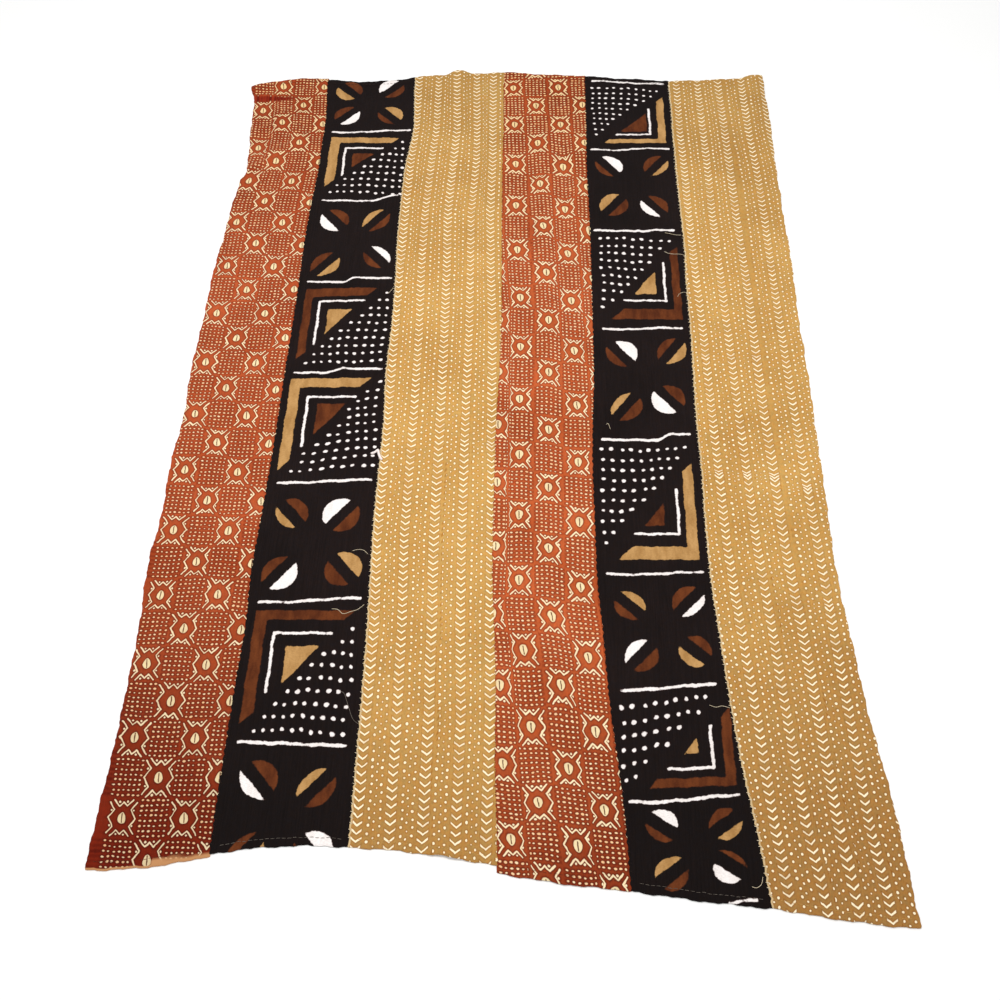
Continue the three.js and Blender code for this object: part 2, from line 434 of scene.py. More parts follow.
def bake_layout(rows, columns, rim_count):
    """Where each face corner lies on the baked square: the top's rows in lanes side by side,
    the underside and the rim in a narrow lane beside them."""
    per_lane = math.ceil((rows - 1) / BAKE_LANES)
    lane_width = BAKE_SHARE / BAKE_LANES
    j, i = np.meshgrid(np.arange(rows - 1), np.arange(columns - 1), indexing="ij")
    lane, local = j // per_lane, j % per_lane
    corner_i = np.stack([i, i + 1, i + 1, i], -1) / (columns - 1)
    corner_j = np.stack([local, local, local + 1, local + 1], -1) / per_lane
    u = (lane[..., None] + LANE_INSET + (1 - 2 * LANE_INSET) * corner_i) * lane_width
    v = BAKE_INSET + (1 - 2 * BAKE_INSET) * corner_j
    top = np.stack([u, v], -1).reshape(-1, 4, 2)
    back_i = np.stack([i, i, i + 1, i + 1], -1) / (columns - 1)
    back_j = np.stack([j, j + 1, j + 1, j], -1) / (rows - 1)
    u = BAKE_SHARE + BAKE_INSET + (BACK_END - BAKE_SHARE) * back_i
    v = BAKE_INSET + (1 - 2 * BAKE_INSET) * back_j
    back = np.stack([u, v], -1).reshape(-1, 4, 2)
    step = np.arange(rim_count) / rim_count
    sides = (RIM_START, RIM_START, RIM_END, RIM_END)
    rim = np.stack([np.stack([np.full(rim_count, u), step], -1) for u in sides], 1)
    return np.concatenate([top, back, rim])


def sheet_object(name, surface, point_values, corner_maps):
    """A closed sheet from a surface's top and underside: both grids and a rim of faces
    between their outlines. point_values are attributes, and corner_maps are UV maps."""
    rows, columns = surface["x"].shape
    layer = rows * columns
    top = np.stack([surface["x"], surface["y"], surface["over"]], -1).reshape(-1, 3)
    back = np.stack([surface["x"], surface["y"], surface["under"]], -1).reshape(-1, 3)
    number = np.arange(layer).reshape(rows, columns)
    a, b = number[:-1, :-1], number[:-1, 1:]
    c, d = number[1:, 1:], number[1:, :-1]
    top_quads = np.stack([a, b, c, d], -1).reshape(-1, 4)
    back_quads = np.stack([a, d, c, b], -1).reshape(-1, 4) + layer
    outline = np.concatenate([
        number[0, :-1], number[:-1, -1], number[-1, :0:-1], number[:0:-1, 0],
    ])
    ahead = np.roll(outline, -1)
    rim_quads = np.stack([outline + layer, ahead + layer, ahead, outline], -1)
    quads = np.concatenate([top_quads, back_quads, rim_quads])
    mesh = quad_mesh(name, np.concatenate([top, back]), quads)
    for key, (kind, field, values) in point_values.items():
        attribute = mesh.attributes.new(key, kind, "POINT")
        both = np.concatenate([values, values]) if key != "underside" else values
        attribute.data.foreach_set(field, both.astype(np.float32).ravel())
    for key, values in corner_maps.items():
        flat = np.concatenate([values, values])[quads.ravel()]
        mesh.uv_layers.new(name=key).data.foreach_set("uv", flat.astype(np.float32).ravel())
    bake = bake_layout(rows, columns, len(outline))
    mesh.uv_layers.new(name="OFBake").data.foreach_set("uv", bake.astype(np.float32).ravel())
    return link(name, mesh)


# The painted patterns of the rust and gold strips

# The motif columns' X down each strip, read off
RUST_LEFT_COLUMNS = (
    (850, -560, -520, -470, -428),
    (700, -549, -504, -462, -416),
    (600, -545, -503, -460, -412),
    (470, -560, -512, -467, -418),
    (240, -562, -514, -470, -422),
    (0, -566, -518, -472, -426),
    (-290, -560, -512, -468, -419),
    (-520, -560, -512, -466, -420),
    (-700, -553, -507, -462, -417),
    (-830, -547, -501, -456, -412),
)
RUST_RIGHT_COLUMNS = (
    (850, -55, -4, 45, 96, 148),
    (600, -48, 5, 53, 105, 154),
    (400, -40, 9, 65, 110, 157),
    (200, -20, 21, 74, 119, 164),
    (0, -18, 21, 74, 125, 172),
    (-300, -15, 23, 73, 126, 178),
    (-420, -20, 25, 76, 125, 179),
    (-500, -7, 34, 88, 135, 185),
    (-700, 6, 54, 104, 150, 198),
    (-850, 28, 70, 122, 166, 214),
)
GOLD_LEFT_COLUMNS = (
    (850, -215, -171, -130, -86, -49, -1),
    (700, -212, -168, -123, -80, -46, 2),
    (600, -217, -173, -127, -78, -44, 4),
    (450, -219, -178, -132, -84, -45, 3),
    (300, -219, -177, -127, -80, -40, 8),
    (150, -218, -172, -124, -77, -33, 15),
    (0, -216, -170, -122, -77, -30, 18),
    (-300, -215, -170, -120, -73, -23, 25),
    (-450, -207, -163, -115, -69, -21, 27),
    (-600, -207, -160, -111, -62, -17, 31),
    (-780, -206, -158, -110, -62, -18, 30),
)
GOLD_RIGHT_COLUMNS = (
    (830, 361, 408, 454, 506, 553),
    (700, 359, 409, 456, 507, 554),
    (600, 361, 410, 457, 513, 561),
    (450, 361, 409, 457, 515, 563),
    (300, 363, 411, 460, 514, 562),
    (150, 367, 414, 462, 515, 563),
    (0, 368, 416, 462, 517, 565),
    (-150, 370, 419, 466, 520, 568),
    (-300, 372, 422, 469, 524, 572),
    (-450, 381, 431, 479, 529, 577),
    (-600, 392, 438, 486, 534, 582),
    (-750, 400, 446, 493, 538, 586),
    (-860, 411, 461, 505, 550, 598),
)
# Where the cloth is gathered in, hiding some of its length, or lies plain between two rows.
# A row for each: the line across the strip, how much of the pattern's length is passed over
# in how much of the cloth's, and how far it fades out at its ends.
GATHER_COLUMNS = ("x0", "y0", "x1", "y1", "hidden", "depth", "fade")
GATHER_TABLE = (
    (-640, 788, -518, 788, -22, 22, 14),
    (-640, 514, -518, 598, 22, 7, 14),
    (330, -160, 510, -170, 14, 20, 30),
    (496, -187, 610, -194, 14, 20, 30),
    (496, -404, 610, -418, 8, 14, 30),
    (-60, -112, 50, -112, 9, 18, 30),
    (340, 88, 500, 95, 5, 9, 30),
)

MOTIF_ROW_LEFT = (15.5, 3.0, 59.0)  # a count of rows, the Y where it is reached, and their pitch
MOTIF_ROW_RIGHT = (1.5, 836.0, 60.4)
MOTIF_HALF_LEFT = 23.3  # half of the columns' pitch
MOTIF_HALF_RIGHT = 26.0
MOTIF_FIRM_LEFT = 14.0  # half of a motif's own width, which isn't narrowed
MOTIF_FIRM_RIGHT = 16.0
CHEVRON_FIRM = 12.0
CHEVRON_PITCH = 11.8
LEAST_STEP = 1.5  # a gather's step from column to column is hidden where it is longer
CHEVRON_BEFORE = 36.0  # a gold column runs from its dots, this far left of the chevrons,
CHEVRON_AFTER = 12.0  # to this far right of them


def column_phase(x, y, table, before, after, firm):
    """Counts a pattern's columns from left to right: each adds 1 while X goes from before to
    after its centre line, which runs straight between the table's rows. Within firm of that
    line the pattern keeps its width, and the rest narrows where two lines run close."""
    rows = np.array(table, float)
    centres = [np.interp(-y, -rows[:, 0], rows[:, k]) for k in range(1, rows.shape[1])]
    loose = before + after - 2 * firm
    room = [np.clip((b - a - 2 * firm) / loose, 0.1, 1) for a, b in zip(centres, centres[1:])]
    phase = np.zeros_like(x)
    for centre, room_before, room_after in zip(centres, [1, *room], [*room, 1]):
        left = (before - firm) * room_before
        right = np.maximum((after - firm) * room_after, 0.01)
        phase += (before - firm) * np.clip((x - centre + firm) / left + 1, 0, 1)
        phase += np.clip(x - centre + firm, 0, 2 * firm)
        phase += (after - firm) * np.clip((x - centre - firm) / right, 0, 1)
    return phase / (before + after)


def gathered(x, y):
    """Y on the cloth's own length: below each gather it has moved on by what is hidden."""
    moved = y.copy()
    for row in GATHER_TABLE:
        gather = dict(zip(GATHER_COLUMNS, row))
        slope = (gather["y1"] - gather["y0"]) / (gather["x1"] - gather["x0"])
        line = gather["y0"] + (x - gather["x0"]) * slope
        share = smooth((x - gather["x0"]) / gather["fade"] + 1)
        share = share * smooth((gather["x1"] - x) / gather["fade"])
        passed = smooth((line - y) / gather["depth"] + 0.5) if gather["hidden"] > 0 else (
            np.clip((line - y) / gather["depth"] + 0.5, 0, 1)
        )
        moved = moved - share * passed * gather["hidden"]
    return moved


def row_sway(x, y, size):
    """How far hand-painted rows stray from straight and even."""
    return size * (
        np.sin(x / 43 + y / 131) + 0.7 * np.sin(y / 67 - x / 29) + 0.5 * np.sin(y / 29 + x / 19)
    )


def rust_left_phase(x, y):
    """The left rust strip's pattern: counts of its columns and of its rows, which lie evenly
    on the cloth's own length."""
    start, at, pitch = MOTIF_ROW_LEFT
    fallen = gathered(x, y) + row_sway(x, y, 1.2)
    half = MOTIF_HALF_LEFT
    u = column_phase(x, y, RUST_LEFT_COLUMNS, half, half, MOTIF_FIRM_LEFT)
    return np.stack([u, start + (at - fallen) / pitch], -1)


def rust_right_phase(x, y):
    """The right rust strip's pattern: counts of its columns and of its slanting rows."""
    start, at, pitch = MOTIF_ROW_RIGHT
    # The rows slant one way at the far end and the other way below it
    tilt = np.where(y > 640, -0.06, 0.09) * (x - 10)
    tilt = tilt * smooth(np.abs(y - 640) / 60)
    # Where they rise above that: in the middle column, towards the near hem, in the right
    # columns of the far half, and in a patch near the near end
    risen = mix(3, 9, smooth((y + 90) / 220)) * smooth(1 - np.abs(x - 68) / 44)
    risen = risen * smooth((720 - y) / 50) + 15 * smooth((-640 - y) / 180)
    risen = risen + 12 * smooth((x - 105) / 30) * smooth((y - 370) / 50) * smooth((700 - y) / 90)
    risen = risen + 9 * smooth(1 - np.abs(x - 92) / 40) * smooth(1 - np.abs(y + 550) / 90)
    fallen = y + tilt - risen + row_sway(x, y, 1.4)
    half = MOTIF_HALF_RIGHT
    u = column_phase(x, y, RUST_RIGHT_COLUMNS, half, half, MOTIF_FIRM_RIGHT)
    return np.stack([u, start + (at - fallen) / pitch], -1)


def rust_darker_and_raw(x, y, from_end):
    """Where the left rust strip is a deeper red, and where its cloth is left raw, as shares: a
    band that narrows from its far corner, its near corner, and a sliver on the near hem."""
    across = np.clip((x + 590) / 110, 0, 1)
    band = smooth((mix(12, 3, across) - np.abs(y - 786 - 5 * across)) / 5 + 0.5)
    band = band * smooth((-474 - x) / 24)
    corner = 0.2 * smooth((-552 - x) / 36) * smooth((-620 - y) / 170)
    width = np.where(x < -495, 2.5, mix(9.0, 6.0, (x + 495) / 85))
    raw = smooth((width - from_end) / 1.5 + 0.5) * (y < 0)
    return np.stack([np.maximum(band, corner), raw, 0 * x], -1)


def gold_phase(x, y, table):
    """A gold strip's pattern, gathered by whole columns, so that no chevron is slanted, and its
    crowding: how much of the pattern passes in a length of cloth, which is 1 where it lies
    plainly, and 1 again at the points on both sides of a step from column to column."""
    u = column_phase(x, y, table, CHEVRON_BEFORE, CHEVRON_AFTER, CHEVRON_FIRM)
    rows = np.array(table, float)
    column = np.clip(u.astype(int), 0, rows.shape[1] - 2)
    centres = np.stack([np.interp(-y, -rows[:, 0], centre) for centre in rows[:, 1:].T])
    centre = np.take_along_axis(centres, column[None], 0)[0]
    crowded = np.maximum(1.0, (gathered(centre, y + 1) - gathered(centre, y - 1)) / 2)
    moved = gathered(centre, y)
    step = np.abs(np.diff(moved - y, axis=1, prepend=(moved - y)[:, :1])) > LEAST_STEP
    step = step | np.roll(step, -1, axis=1)
    swayed = moved + row_sway(x, y, 1.3)
    return np.stack([u, swayed / CHEVRON_PITCH], -1), np.stack([crowded, step, 0 * x], -1)


# The painted figures of the black strips

SEPARATOR_COLUMNS = ("x0", "x1", "y0", "y1", "step_x", "step", "half")
# A white line across: its ends, and where and over what length it climbs from y0 to y1
SEPARATORS_LEFT = (
    (-393, -226, 684, 694, -300, 150, 3.0),
    (-393, -238, 481, 498, -270, 46, 2.8),
    (-397, -235, 261, 273, -318, 26, 3.0),
    (-397, -234, 41, 52, -325, 40, 3.0),
    (-397, -234, -196, -186, -315, 160, 3.1),
    (-397, -234, -420, -409, -300, 160, 3.0),
    (-397, -234, -650, -652, -315, 150, 3.2),
)
SEPARATORS_RIGHT = (
    (174, 331, 863, 856, 235, 80, 3.0),
    (166, 332, 642, 649, 252, 60, 2.8),
    (168, 327, 409, 413, 282, 40, 3.3),
    (178, 327, 156, 161, 258, 60, 3.1),
    (170, 324, -94, -80, 280, 34, 3.3),
    (170, 327, -358, -350, 270, 150, 2.8),
    (185, 332, -556, -543, 265, 150, 3.2),
    (192, 353, -726, -712, 290, 150, 3.0),
    (326, 364, -862, -857, 345, 40, 2.6),
)
LEAF_COLUMNS = ("x", "y", "reach_x", "reach_y", "tilt", "petals", "nudges")
# A block of four leaves about its centre. The petals go from the top left leaf to the bottom
# right one, the upper half of each first: w, t or b for white, tan or brown, and how far
# the petal's curve stands out. nudges move each leaf a little in X and Y.
LEAVES_LEFT = (
    (-320, 778, 68, 66, 0.04, "b19 t20 w20 b17 b17 w18 t20 b12",
     ((0, -6), (-3, -1), (2, 8), (-2, 5))),
    (-317, 371, 69, 79, 0.08, "b18 w18 t14 b15 b17 t17 w14 b13",
     ((4, 2), (-9, -3), (-2, -4), (0, 8))),
    (-323, -309, 67, 77, 0.08, "b19 t12 w24 b22 b17 w22 t22 b20",
     ((4, 1), (-4, -6), (-2, 1), (8, 1))),
    (-316, -758, 68, 72, 0.02, "b20 w15 t14 b17 b12 t14 w22 b13",
     ((5, 1), (-4, -9), (0, 0), (0, 0))),
)
LEAVES_RIGHT = (
    (252, 539, 66, 79, 0.02, "w21 b13 b17 t12 t20 b19 b18 w16",
     ((-5, -3), (4, 0), (4, -1), (-7, -5))),
    (257, 45, 64, 81, 0.08, "w21 b16 b16 t17 t14 b20 b19 w24",
     ((-2, -2), (2, 0), (2, -6), (-9, 6))),
    (258, -451, 65, 62, 0.10, "t14 b13 b18 w13 w15 b18 b14 t16",
     ((-8, -1), (-3, -2), (7, 1), (2, 1))),
    (281, -791, 65, 43, 0.06, "w14 b12 b13 t12 t13 b13 b8 w15",
     ((2, 4), (3, 3), (13, -1), (4, 7))),
)
CORNER_COLUMNS = (
    "x", "y", "across", "across_thick", "along", "along_thick", "line_a", "line_b",
    "line_across", "line_along", "wedge_a", "wedge_b", "wedge_across", "wedge_along",
    "tilt", "paints",
)
# A block with a broad angle, a white angle inside it and a wedge: all are measured from the
# broad angle's outer corner, a across the strip and b along it. paints names the broad
# angle's paint and the wedge's.
CORNERS_LEFT = (
    (-394, 668, 147, 16, 147, 20, 34, 32, 80, 82, 52, 49, 45, 41, 0.01, "tb"),
    (-398, 242, 139, 20, 170, 15, 30, 32, 86, 104, 48, 53, 46, 58, 0.05, "bt"),
    (-401, 27, 148, 20, 197, 19, 36, 42, 86, 105, 55, 57, 52, 67, 0.03, "tb"),
    (-400, -435, 160, 16, 188, 19, 34, 39, 91, 97, 56, 61, 53, 63, 0.02, "bt"),
)
CORNERS_RIGHT = (
    (328, 667, 134, 12, 145, 16, 33, 26, 74, 81, 40, 35, 57, 57, 0.03, "tb"),
    (331, 182, 137, 25, 187, 15, 30, 46, 80, 97, 47, 62, 44, 59, 0.01, "bt"),
    (324, -328, 134, 24, 187, 18, 30, 48, 75, 86, 54, 64, 33, 43, 0.02, "tb"),
    (351, -698, 130, 13, 118, 15, 32, 27, 67, 64, 53, 49, 22, 24, 0.06, "bt"),
)
DOT_COLUMNS = ("x", "y", "columns", "rows", "pitch_x", "pitch_y", "tilt")
# A block's triangle of dots: the dot in its square corner, how many lie along each side,
# and their spacing
DOTS_LEFT = (
    (-237, 505, 10, 9, 15.8, 18.7, 0.0),
    (-240, 75, 10, 10, 15.7, 17.8, 0.10),
    (-237, -156, 9, 11, 17.0, 17.7, 0.11),
    (-240, -632, 10, 9, 15.2, 20.7, 0.0),
)
DOTS_RIGHT = (
    (174, 841, 10, 10, 15.4, 17.0, -0.05),
    (178, 386, 9, 10, 16.8, 19.5, 0.0),
    (169, -117, 10, 10, 16.6, 20.0, 0.05),
    (188, -582, 9, 6, 16.0, 22.0, 0.13),
)
WHITE, TAN, BROWN = range(3)
PAINTS = {"w": WHITE, "t": TAN, "b": BROWN}
LEAF_START = 0.42  # a leaf runs from this share of its block's reach to all of it
LEAF_GAP = 9.5  # half of the bare band along a leaf
QUARTERS = ((-1, 1), (1, 1), (-1, -1), (1, -1))  # the sides of a block on which its leaves lie
ARM_HALF = 2.1  # half the width of a white angle's line across the strip
LEG_HALF = 2.3  # and along it
FAR_OFF = -40.0


def stroke(x, y, x0, y0, x1, y1, half):
    """How far inside a rounded straight stroke points are: its half width less their
    distance from the segment."""
    dx, dy = x1 - x0, y1 - y0
    t = np.clip(((x - x0) * dx + (y - y0) * dy) / (dx * dx + dy * dy), 0, 1)
    return half - np.hypot(x - x0 - t * dx, y - y0 - t * dy)


def petal(x, y, x0, y0, x1, y1, out, side):
    """How far inside a petal points are: between a straight edge and the circle through its
    ends that stands out by the given height on one side."""
    dx, dy = x1 - x0, y1 - y0
    chord = math.hypot(dx, dy)
    nx, ny = -dy / chord * side, dx / chord * side
    radius = (chord * chord / 4 + out * out) / (2 * out)
    cx = (x0 + x1) / 2 + nx * (out - radius)
    cy = (y0 + y1) / 2 + ny * (out - radius)
    edge = (x - x0) * nx + (y - y0) * ny
    return np.minimum(radius - np.hypot(x - cx, y - cy), edge)


def separator_shapes(x, hand_y, table):
    """For each white line across a strip: its paint, and how far inside it points are. Its
    half width swells and shrinks a little along it."""
    for row in table:
        line = dict(zip(SEPARATOR_COLUMNS, row))
        climb = smooth((x - line["step_x"]) / line["step"] + 0.5)
        middle = mix(line["y0"], line["y1"], climb)
        past = np.maximum(0, np.maximum(line["x0"] - x, x - line["x1"]))
        swell = line["half"] - 0.8 + 0.3 * np.sin(x / 13 + line["y0"]) + 0.2 * np.sin(x / 5.1)
        yield WHITE, swell - np.hypot(past, hand_y - middle)


def leaf_shapes(x, hand_x, hand_y, table):
    """For each petal of the leaves: its paint, and how far inside it points are. A leaf's two
    petals lie on either side of the line from its block's centre to its corner."""
    for row in table:
        block = dict(zip(LEAF_COLUMNS, row))
        level = hand_y - block["tilt"] * (x - block["x"])
        codes = block["petals"].split()
        for quarter, (sx, sy) in enumerate(QUARTERS):
            ax, ay = sx * block["reach_x"], sy * block["reach_y"]
            reach = math.hypot(ax, ay)
            gap_x, gap_y = -ay / reach * LEAF_GAP, ax / reach * LEAF_GAP
            centre_x = block["x"] + block["nudges"][quarter][0]
            centre_y = block["y"] + block["nudges"][quarter][1]
            for upper, code in zip((1, -1), codes[2 * quarter:2 * quarter + 2]):
                side = upper * sx
                x0 = centre_x + LEAF_START * ax + side * gap_x
                y0 = centre_y + LEAF_START * ay + side * gap_y
                x1 = centre_x + ax + side * gap_x
                y1 = centre_y + ay + side * gap_y
                out = float(code[1:])
                yield PAINTS[code[0]], petal(hand_x, level, x0, y0, x1, y1, out, side)


def corner_shapes(x, hand_x, hand_y, table, turned):
    """For each broad angle, white angle and wedge: its paint, and how far inside it points
    are. a and b are a point's places across and along the strip from the block's corner."""
    for row in table:
        block = dict(zip(CORNER_COLUMNS, row))
        broad, wedge = (PAINTS[code] for code in block["paints"])
        level = hand_y - block["tilt"] * (x - block["x"])
        a = turned * (hand_x - block["x"])
        b = turned * (block["y"] - level)
        diagonal_across = (block["across"] - a - b) / math.sqrt(2)
        diagonal_along = (block["along"] - a - b) / math.sqrt(2)
        corner = np.minimum(a, b)
        bar_across = np.minimum(np.minimum(corner, block["across_thick"] - b), diagonal_across)
        bar_along = np.minimum(np.minimum(corner, block["along_thick"] - a), diagonal_along)
        yield broad, np.maximum(bar_across, bar_along)
        la, lb = block["line_a"], block["line_b"]
        yield WHITE, stroke(a, b, la, lb, la + block["line_across"], lb, ARM_HALF)
        yield WHITE, stroke(a, b, la, lb, la, lb + block["line_along"], LEG_HALF)
        wa, wb = a - block["wedge_a"], b - block["wedge_b"]
        run, fall = block["wedge_across"], block["wedge_along"]
        slant = (1 - wa / run - wb / fall) * run * fall / math.hypot(run, fall)
        yield wedge, np.minimum(np.minimum(wa, wb), slant)


def paint_distances(x, y, separators, leaves, corners, turned):
    """How far inside the white, tan and brown figures of a black strip each point lies, in
    millimetres. turned is 1 where the angles have their corner at the top left, and -1
    where they have it at the bottom right."""
    # The painter's hand wavers by up to a millimetre
    hand_x = x + 0.6 * np.sin(y / 11 + x / 37) + 0.3 * np.sin(y / 5.3)
    hand_y = y + 0.6 * np.sin(x / 9 + y / 41) + 0.3 * np.sin(x / 4.7)
    shapes = chain(
        separator_shapes(x, hand_y, separators),
        leaf_shapes(x, hand_x, hand_y, leaves),
        corner_shapes(x, hand_x, hand_y, corners, turned),
    )
    paint = np.full((*x.shape, 3), FAR_OFF)
    for kind, inside in shapes:
        paint[..., kind] = np.maximum(paint[..., kind], inside)
    return paint


DOT_MARGIN = 0.62  # of a pitch, around the outermost dots
NEAR_BLOCK = -0.35  # a point this little outside a block still takes its place from it
NO_DOT = -5.0


def dot_places(x, y, table, turned):
    """For a black strip's triangles of dots: the place of each point in the nearest block's
    rows and columns of dots, one over its counts of them, and how far inside it is."""
    place = np.full((*x.shape, 2), NO_DOT)
    counts = np.zeros((*x.shape, 3))
    for row in table:
        block = dict(zip(DOT_COLUMNS, row))
        u = turned * (block["x"] - x) / block["pitch_x"]
        v = turned * (y - block["y"] - block["tilt"] * (x - block["x"])) / block["pitch_y"]
        sway = 0.16 * np.sin(x / 31 + y / 57) + 0.1 * np.sin(y / 23)
        u, v = u + sway, v + 0.13 * np.sin(x / 27 - y / 61)
        inside = np.minimum(
            np.minimum(u, v) + DOT_MARGIN,
            np.minimum(block["columns"] - u, block["rows"] - v) - 1 + DOT_MARGIN,
        )
        here = inside > NEAR_BLOCK
        place[here] = np.stack([u, v], -1)[here]
        size = np.stack([0 * x + 1 / block["columns"], 0 * x + 1 / block["rows"], inside], -1)
        counts[here] = size[here]
    return place, counts


# Materials

THREAD_PITCH = 1.3  # millimetres between threads of handspun cotton
WEAVE_DEPTH = 0.0007  # metres, drawn deeper than it is so that it shows
SLUB_SCALE = (1400, 220, 1)  # slubs are short across the strip and longer along it
SLUB_SHARE = 0.16
FAR_Y = (0.3, 0.85)  # metres: from here to here painted shade darkens the cloth, and the rust turns more red
SOFT = 0.45  # how soft a painted edge is


def add_node(tree, kind, *values, out=0, named=None, **settings):
    """Adds a shader node with its settings. The values go to its inputs in order, and those in
    named to the inputs of those names: a number, a colour, another node's output, or None.
    Gives the output of that number, or all of them."""
    made = tree.nodes.new("ShaderNode" + kind)
    for name, value in settings.items():
        setattr(made, name, value)
    sockets = [socket for socket in made.inputs if socket.enabled]
    pairs = [*zip(sockets, values)]
    pairs += [(made.inputs[name], value) for name, value in (named or {}).items()]
    for socket, value in pairs:
        if isinstance(value, bpy.types.NodeSocket):
            tree.links.new(value, socket)
        elif value is not None:
            socket.default_value = value
    outputs = [socket for socket in made.outputs if socket.enabled]
    return outputs if out is None else outputs[out]


def new_material(name):
    """An empty material, and the function that adds nodes to it."""
    material = bpy.data.materials.new(name)
    material.use_nodes = True
    material.node_tree.nodes.clear()
    return material, partial(add_node, material.node_tree)


def cotton_finish(add, colour, paint, thickness):
    """Ends a cotton material: matt cotton with a plain weave in its bump, slubs, and paint
    that fills the weave a little. paint is from 0 to 1, and thickness is the paint's."""
    place = add("TexCoord", out=3)
    x, y, _ = add("SeparateXYZ", place, out=None)
    turn = 2 * math.pi / (THREAD_PITCH * MM)
    warp = add("Math", add("Math", x, turn, operation="MULTIPLY"), operation="SINE")
    weft = add("Math", add("Math", y, turn, operation="MULTIPLY"), operation="SINE")
    weave = add("Math", warp, weft, operation="MULTIPLY")
    slub = add("TexNoise", add("Mapping", place, None, None, SLUB_SCALE), 1.0, 2.0)
    filled = add("Math", 1.0, add("Math", paint, 0.6, operation="MULTIPLY"), operation="SUBTRACT")
    relief = add("Math", weave, filled, operation="MULTIPLY")
    relief = add("Math", relief, SLUB_SHARE, slub, operation="MULTIPLY_ADD")
    relief = add("Math", paint, thickness, relief, operation="MULTIPLY_ADD")
    bump = add("Bump", 0.55, WEAVE_DEPTH, None, relief)
    shader = add("BsdfPrincipled", named={
        "Base Color": colour, "Roughness": 0.95, "Specular IOR Level": 0.12, "Normal": bump,
    })
    add("OutputMaterial", shader, out=None)


def dyed_ground(add, light, deep, aged, streaks):
    """The ground colour of a hand-dyed strip: clouds a hand wide between a lighter and a
    deeper dye, finer mottling, and streaks along the warp, deeper towards the near end, and
    painted shade that darkens it towards the far end."""
    place = add("TexCoord", out=3)
    clouds = add("TexNoise", place, 7.0, 3.0, 0.6)
    clouds = add("MapRange", clouds, 0.35, 0.7, 0.0, 1.0)
    ground = add("Mix", clouds, hex_linear(light), hex_linear(deep), data_type="RGBA")
    x, y, _ = add("SeparateXYZ", place, out=None)
    nearness = add("Math", add("Math", x, operation="ABSOLUTE"), 0.5, operation="MULTIPLY")
    nearness = add("Math", nearness, y, operation="SUBTRACT")
    nearness = add("MapRange", nearness, 0.45, 1.15, 0.0, 1.0, interpolation_type="SMOOTHSTEP")
    ground = add("Mix", nearness, ground, hex_linear(aged), data_type="RGBA")
    warp = add("TexNoise", add("Mapping", place, None, None, (520, 14, 1)), 1.0, 3.0, 0.7)
    speck = add("TexNoise", place, 230.0, 3.0, 0.7)
    shade = add("MapRange", warp, 0.3, 0.7, 1.0 - streaks, 1.0 + streaks)
    grain = add("MapRange", speck, 0.3, 0.7, 0.9, 1.1)
    shade = add("Math", shade, grain, operation="MULTIPLY")
    # Painted shade: the ground darkens towards the far end
    painted_far_shade = add("MapRange", y, *FAR_Y, 1.0, 0.84)
    shade = add("Math", shade, painted_far_shade, operation="MULTIPLY")
    ground = add("Mix", 1.0, ground, shade, data_type="RGBA", blend_type="MULTIPLY")
    hue = add("MapRange", add("TexNoise", place, 150.0, 2.0, 0.6), 0.35, 0.65, 0.0, 1.0)
    hue = add("Mix", hue, (1.06, 0.97, 0.86, 1), (0.95, 1.02, 1.12, 1), data_type="RGBA")
    return add("Mix", 1.0, ground, hue, data_type="RGBA", blend_type="MULTIPLY")


def hand_stray(add, place, scale, size):
    """How far the painter's hand strays in X and in Y, in millimetres: noise about zero."""
    shake = add("TexNoise", place, scale, 2.0, 0.6, out=1)
    shake = add("VectorMath", shake, (0.5, 0.5, 0.5), operation="SUBTRACT")
    shake = add("VectorMath", shake, size, operation="SCALE")
    stray_x, stray_y, _ = add("SeparateXYZ", shake, out=None)
    return stray_x, stray_y


def top_only(add, left):
    """1 on the cloth's face and a small share on its back, where paint hardly comes through."""
    back = add("Attribute", out=2, attribute_name="underside")
    return add("MapRange", back, 0.0, 1.0, 1.0, left)


def segment_distance(add, point, start, end):
    """The distance of a point from a straight segment, all on the pattern's plane."""
    way = np.array(end, float) - np.array(start, float)
    offset = add("VectorMath", point, (*start, 0), operation="SUBTRACT")
    along = add("VectorMath", offset, (*(way / way.dot(way)), 0), out=0, operation="DOT_PRODUCT")
    along = add("Clamp", along, 0.0, 1.0)
    reached = add("VectorMath", (*way, 0), along, operation="SCALE")
    return add("VectorMath", offset, reached, operation="DISTANCE")


# The rust motif, in millimetres from its centre: one quarter of its zigzags and specks, and
# the slit of its bean
MOTIF_STROKES = (
    ((21.0, 23.5), (13.0, 13.0)),
    ((13.0, 13.0), (21.0, 0.0)),
    ((14.5, 27.5), (6.2, 18.5)),
    ((6.2, 18.5), (0.0, 24.5)),
)
MOTIF_SPECKS = ((17.5, 12.0), (6.2, 25.0))
BEAN_SLIT = ((0.3, -6.4), (-0.2, 6.2))
BEAN_NARROWING = 0.026  # a bean's half width loses this share for each millimetre to its point
MEAN_BEAN_RADIUS = 7.5  # turns a share of the bean's size into millimetres


